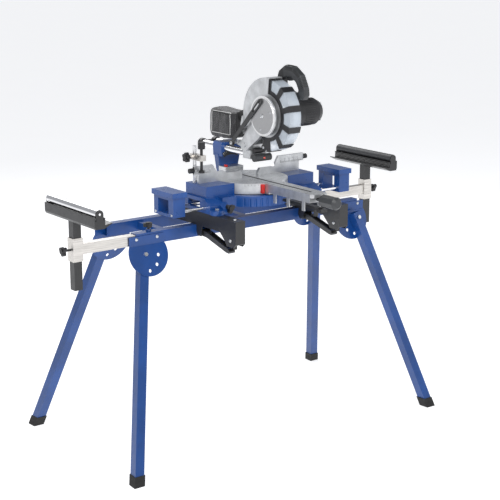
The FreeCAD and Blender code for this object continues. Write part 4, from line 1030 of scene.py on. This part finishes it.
def make_stage(chosen):
    """A pale floor, soft studio light and the camera."""
    low, high = CAD_BOX
    floor_mesh = bmesh.new()
    bmesh.ops.create_grid(floor_mesh, x_segments=1, y_segments=1, size=80)
    floor = bpy.data.meshes.new("floor")
    floor_mesh.to_mesh(floor)
    floor_mesh.free()
    floor_thing = bpy.data.objects.new("floor", floor)
    bpy.context.scene.collection.objects.link(floor_thing)
    recipe = Recipe("Pale floor")
    drift = recipe.noise(2, 2)
    recipe.colour(recipe.tint(drift, shade(tuple(chosen.floor), 0.985), tuple(chosen.floor)))
    recipe.set(Roughness=0.75, Emission_Color=(1, 1, 1, 1), Emission_Strength=0.55)
    floor.materials.append(recipe.material)
    world = bpy.data.worlds.new("Studio")
    world.use_nodes = True
    world.node_tree.nodes["Background"].inputs["Color"].default_value = (0.93, 0.95, 1.0, 1)
    world.node_tree.nodes["Background"].inputs["Strength"].default_value = 0.42
    bpy.context.scene.world = world
    bpy.context.scene.view_settings.view_transform = "Standard"
    middle = (low + high) / 2
    for name, spot, size, energy in (("Key", (-2.2, -2.6, 3.6), 2.0, 120), ("Fill", (3.2, -2.0, 2.4), 3.0, 30),
                                     ("Back", (0.4, 3.2, 3.2), 2.6, 60)):
        lamp = bpy.data.lights.new(name, "AREA")
        lamp.size = size
        lamp.energy = energy
        thing = bpy.data.objects.new(name, lamp)
        thing.location = spot
        thing.rotation_euler = (middle - Vector(spot)).to_track_quat("-Z", "Y").to_euler()
        bpy.context.scene.collection.objects.link(thing)
    camera = bpy.data.cameras.new("Camera")
    camera.lens = chosen.lens
    camera_thing = bpy.data.objects.new("Camera", camera)
    direction = Vector((math.sin(chosen.azimuth) * math.cos(chosen.elevation),
                        -math.cos(chosen.azimuth) * math.cos(chosen.elevation), math.sin(chosen.elevation)))
    reach = (high - low).length * 0.8 * chosen.lens / camera.sensor_width
    aim = middle + Vector((0, 0, -0.01))
    camera_thing.location = aim + direction * reach
    camera_thing.rotation_euler = (-direction).to_track_quat("-Z", "Y").to_euler()
    bpy.context.scene.collection.objects.link(camera_thing)
    bpy.context.scene.camera = camera_thing


# ---------------------------------------------------------------- operators, panel and the run

class FrameFinishes(bpy.types.Operator):
    """Puts paint, castings and plastics on every part of the frame"""

    bl_idname = "mitre_saw.frame_finishes"
    bl_label = "Finish the Frame"

    def execute(self, context):
        finish_frame()
        return {"FINISHED"}


class DustBag(bpy.types.Operator):
    """Makes the dust bag as settled cloth, with its piping, patch, zip and collar"""

    bl_idname = "mitre_saw.dust_bag"
    bl_label = "Dust Bag"

    def execute(self, context):
        make_bag_trim(make_bag(settings("bag")))
        return {"FINISHED"}


class Handle(bpy.types.Operator):
    """Makes the moulded D-handle and its ribbed grip"""

    bl_idname = "mitre_saw.handle"
    bl_label = "Handle"

    def execute(self, context):
        make_handle()
        return {"FINISHED"}


class MotorTrim(bpy.types.Operator):
    """Adds the motor's ribs, vents and screws"""

    bl_idname = "mitre_saw.motor_trim"
    bl_label = "Motor Trim"

    def execute(self, context):
        make_motor_trim()
        return {"FINISHED"}


class Scales(bpy.types.Operator):
    """Prints the fence, mitre and tilt scales and their red pointers"""

    bl_idname = "mitre_saw.scales"
    bl_label = "Scales and Pointers"

    def execute(self, context):
        for side in ("left", "right"):
            make_fence_scale(side, settings("scale"))
        make_mitre_scale()
        make_tilt_scale()
        return {"FINISHED"}


class Fixings(bpy.types.Operator):
    """Adds screw heads, the depth stop, rivets and weld beads"""

    bl_idname = "mitre_saw.fixings"
    bl_label = "Fixings"

    def execute(self, context):
        make_fixings()
        make_head_details()
        make_stand_details()
        return {"FINISHED"}


class Stage(bpy.types.Operator):
    """Sets the floor, the lights and the camera"""

    bl_idname = "mitre_saw.stage"
    bl_label = "Stage"

    def execute(self, context):
        make_stage(settings("stage"))
        return {"FINISHED"}


class SawPanel(bpy.types.Panel):
    """The sidebar's list of pieces"""

    bl_idname = "VIEW3D_PT_mitre_saw"
    bl_label = "Mitre Saw"
    bl_space_type = "VIEW_3D"
    bl_region_type = "UI"
    bl_category = "Mitre Saw"

    def draw(self, context):
        for operator in OPERATORS:
            self.layout.operator(operator.bl_idname)


OPERATORS = (FrameFinishes, DustBag, Handle, MotorTrim, Scales, Fixings, Stage)
GROUPS = {"finish": FinishSettings, "bag": BagSettings, "scale": ScaleSettings, "stage": StageSettings}


def register():
    """Registers the settings, the operators and the panel."""
    for kind, group in GROUPS.items():
        bpy.utils.register_class(group)
        setattr(bpy.types.Scene, "mitre_saw_" + kind, bpy.props.PointerProperty(type=group))
    for item in (*OPERATORS, SawPanel):
        bpy.utils.register_class(item)


def unregister():
    """Removes what register added."""
    for item in reversed((*OPERATORS, SawPanel)):
        bpy.utils.unregister_class(item)
    for kind, group in GROUPS.items():
        delattr(bpy.types.Scene, "mitre_saw_" + kind)
        bpy.utils.unregister_class(group)


def main():
    """Makes the pieces in order."""
    register()
    bpy.ops.mitre_saw.stage()
    bpy.ops.mitre_saw.frame_finishes()
    bpy.ops.mitre_saw.dust_bag()
    bpy.ops.mitre_saw.handle()
    bpy.ops.mitre_saw.motor_trim()
    bpy.ops.mitre_saw.scales()
    bpy.ops.mitre_saw.fixings()


if __name__ == "__main__":
    main()
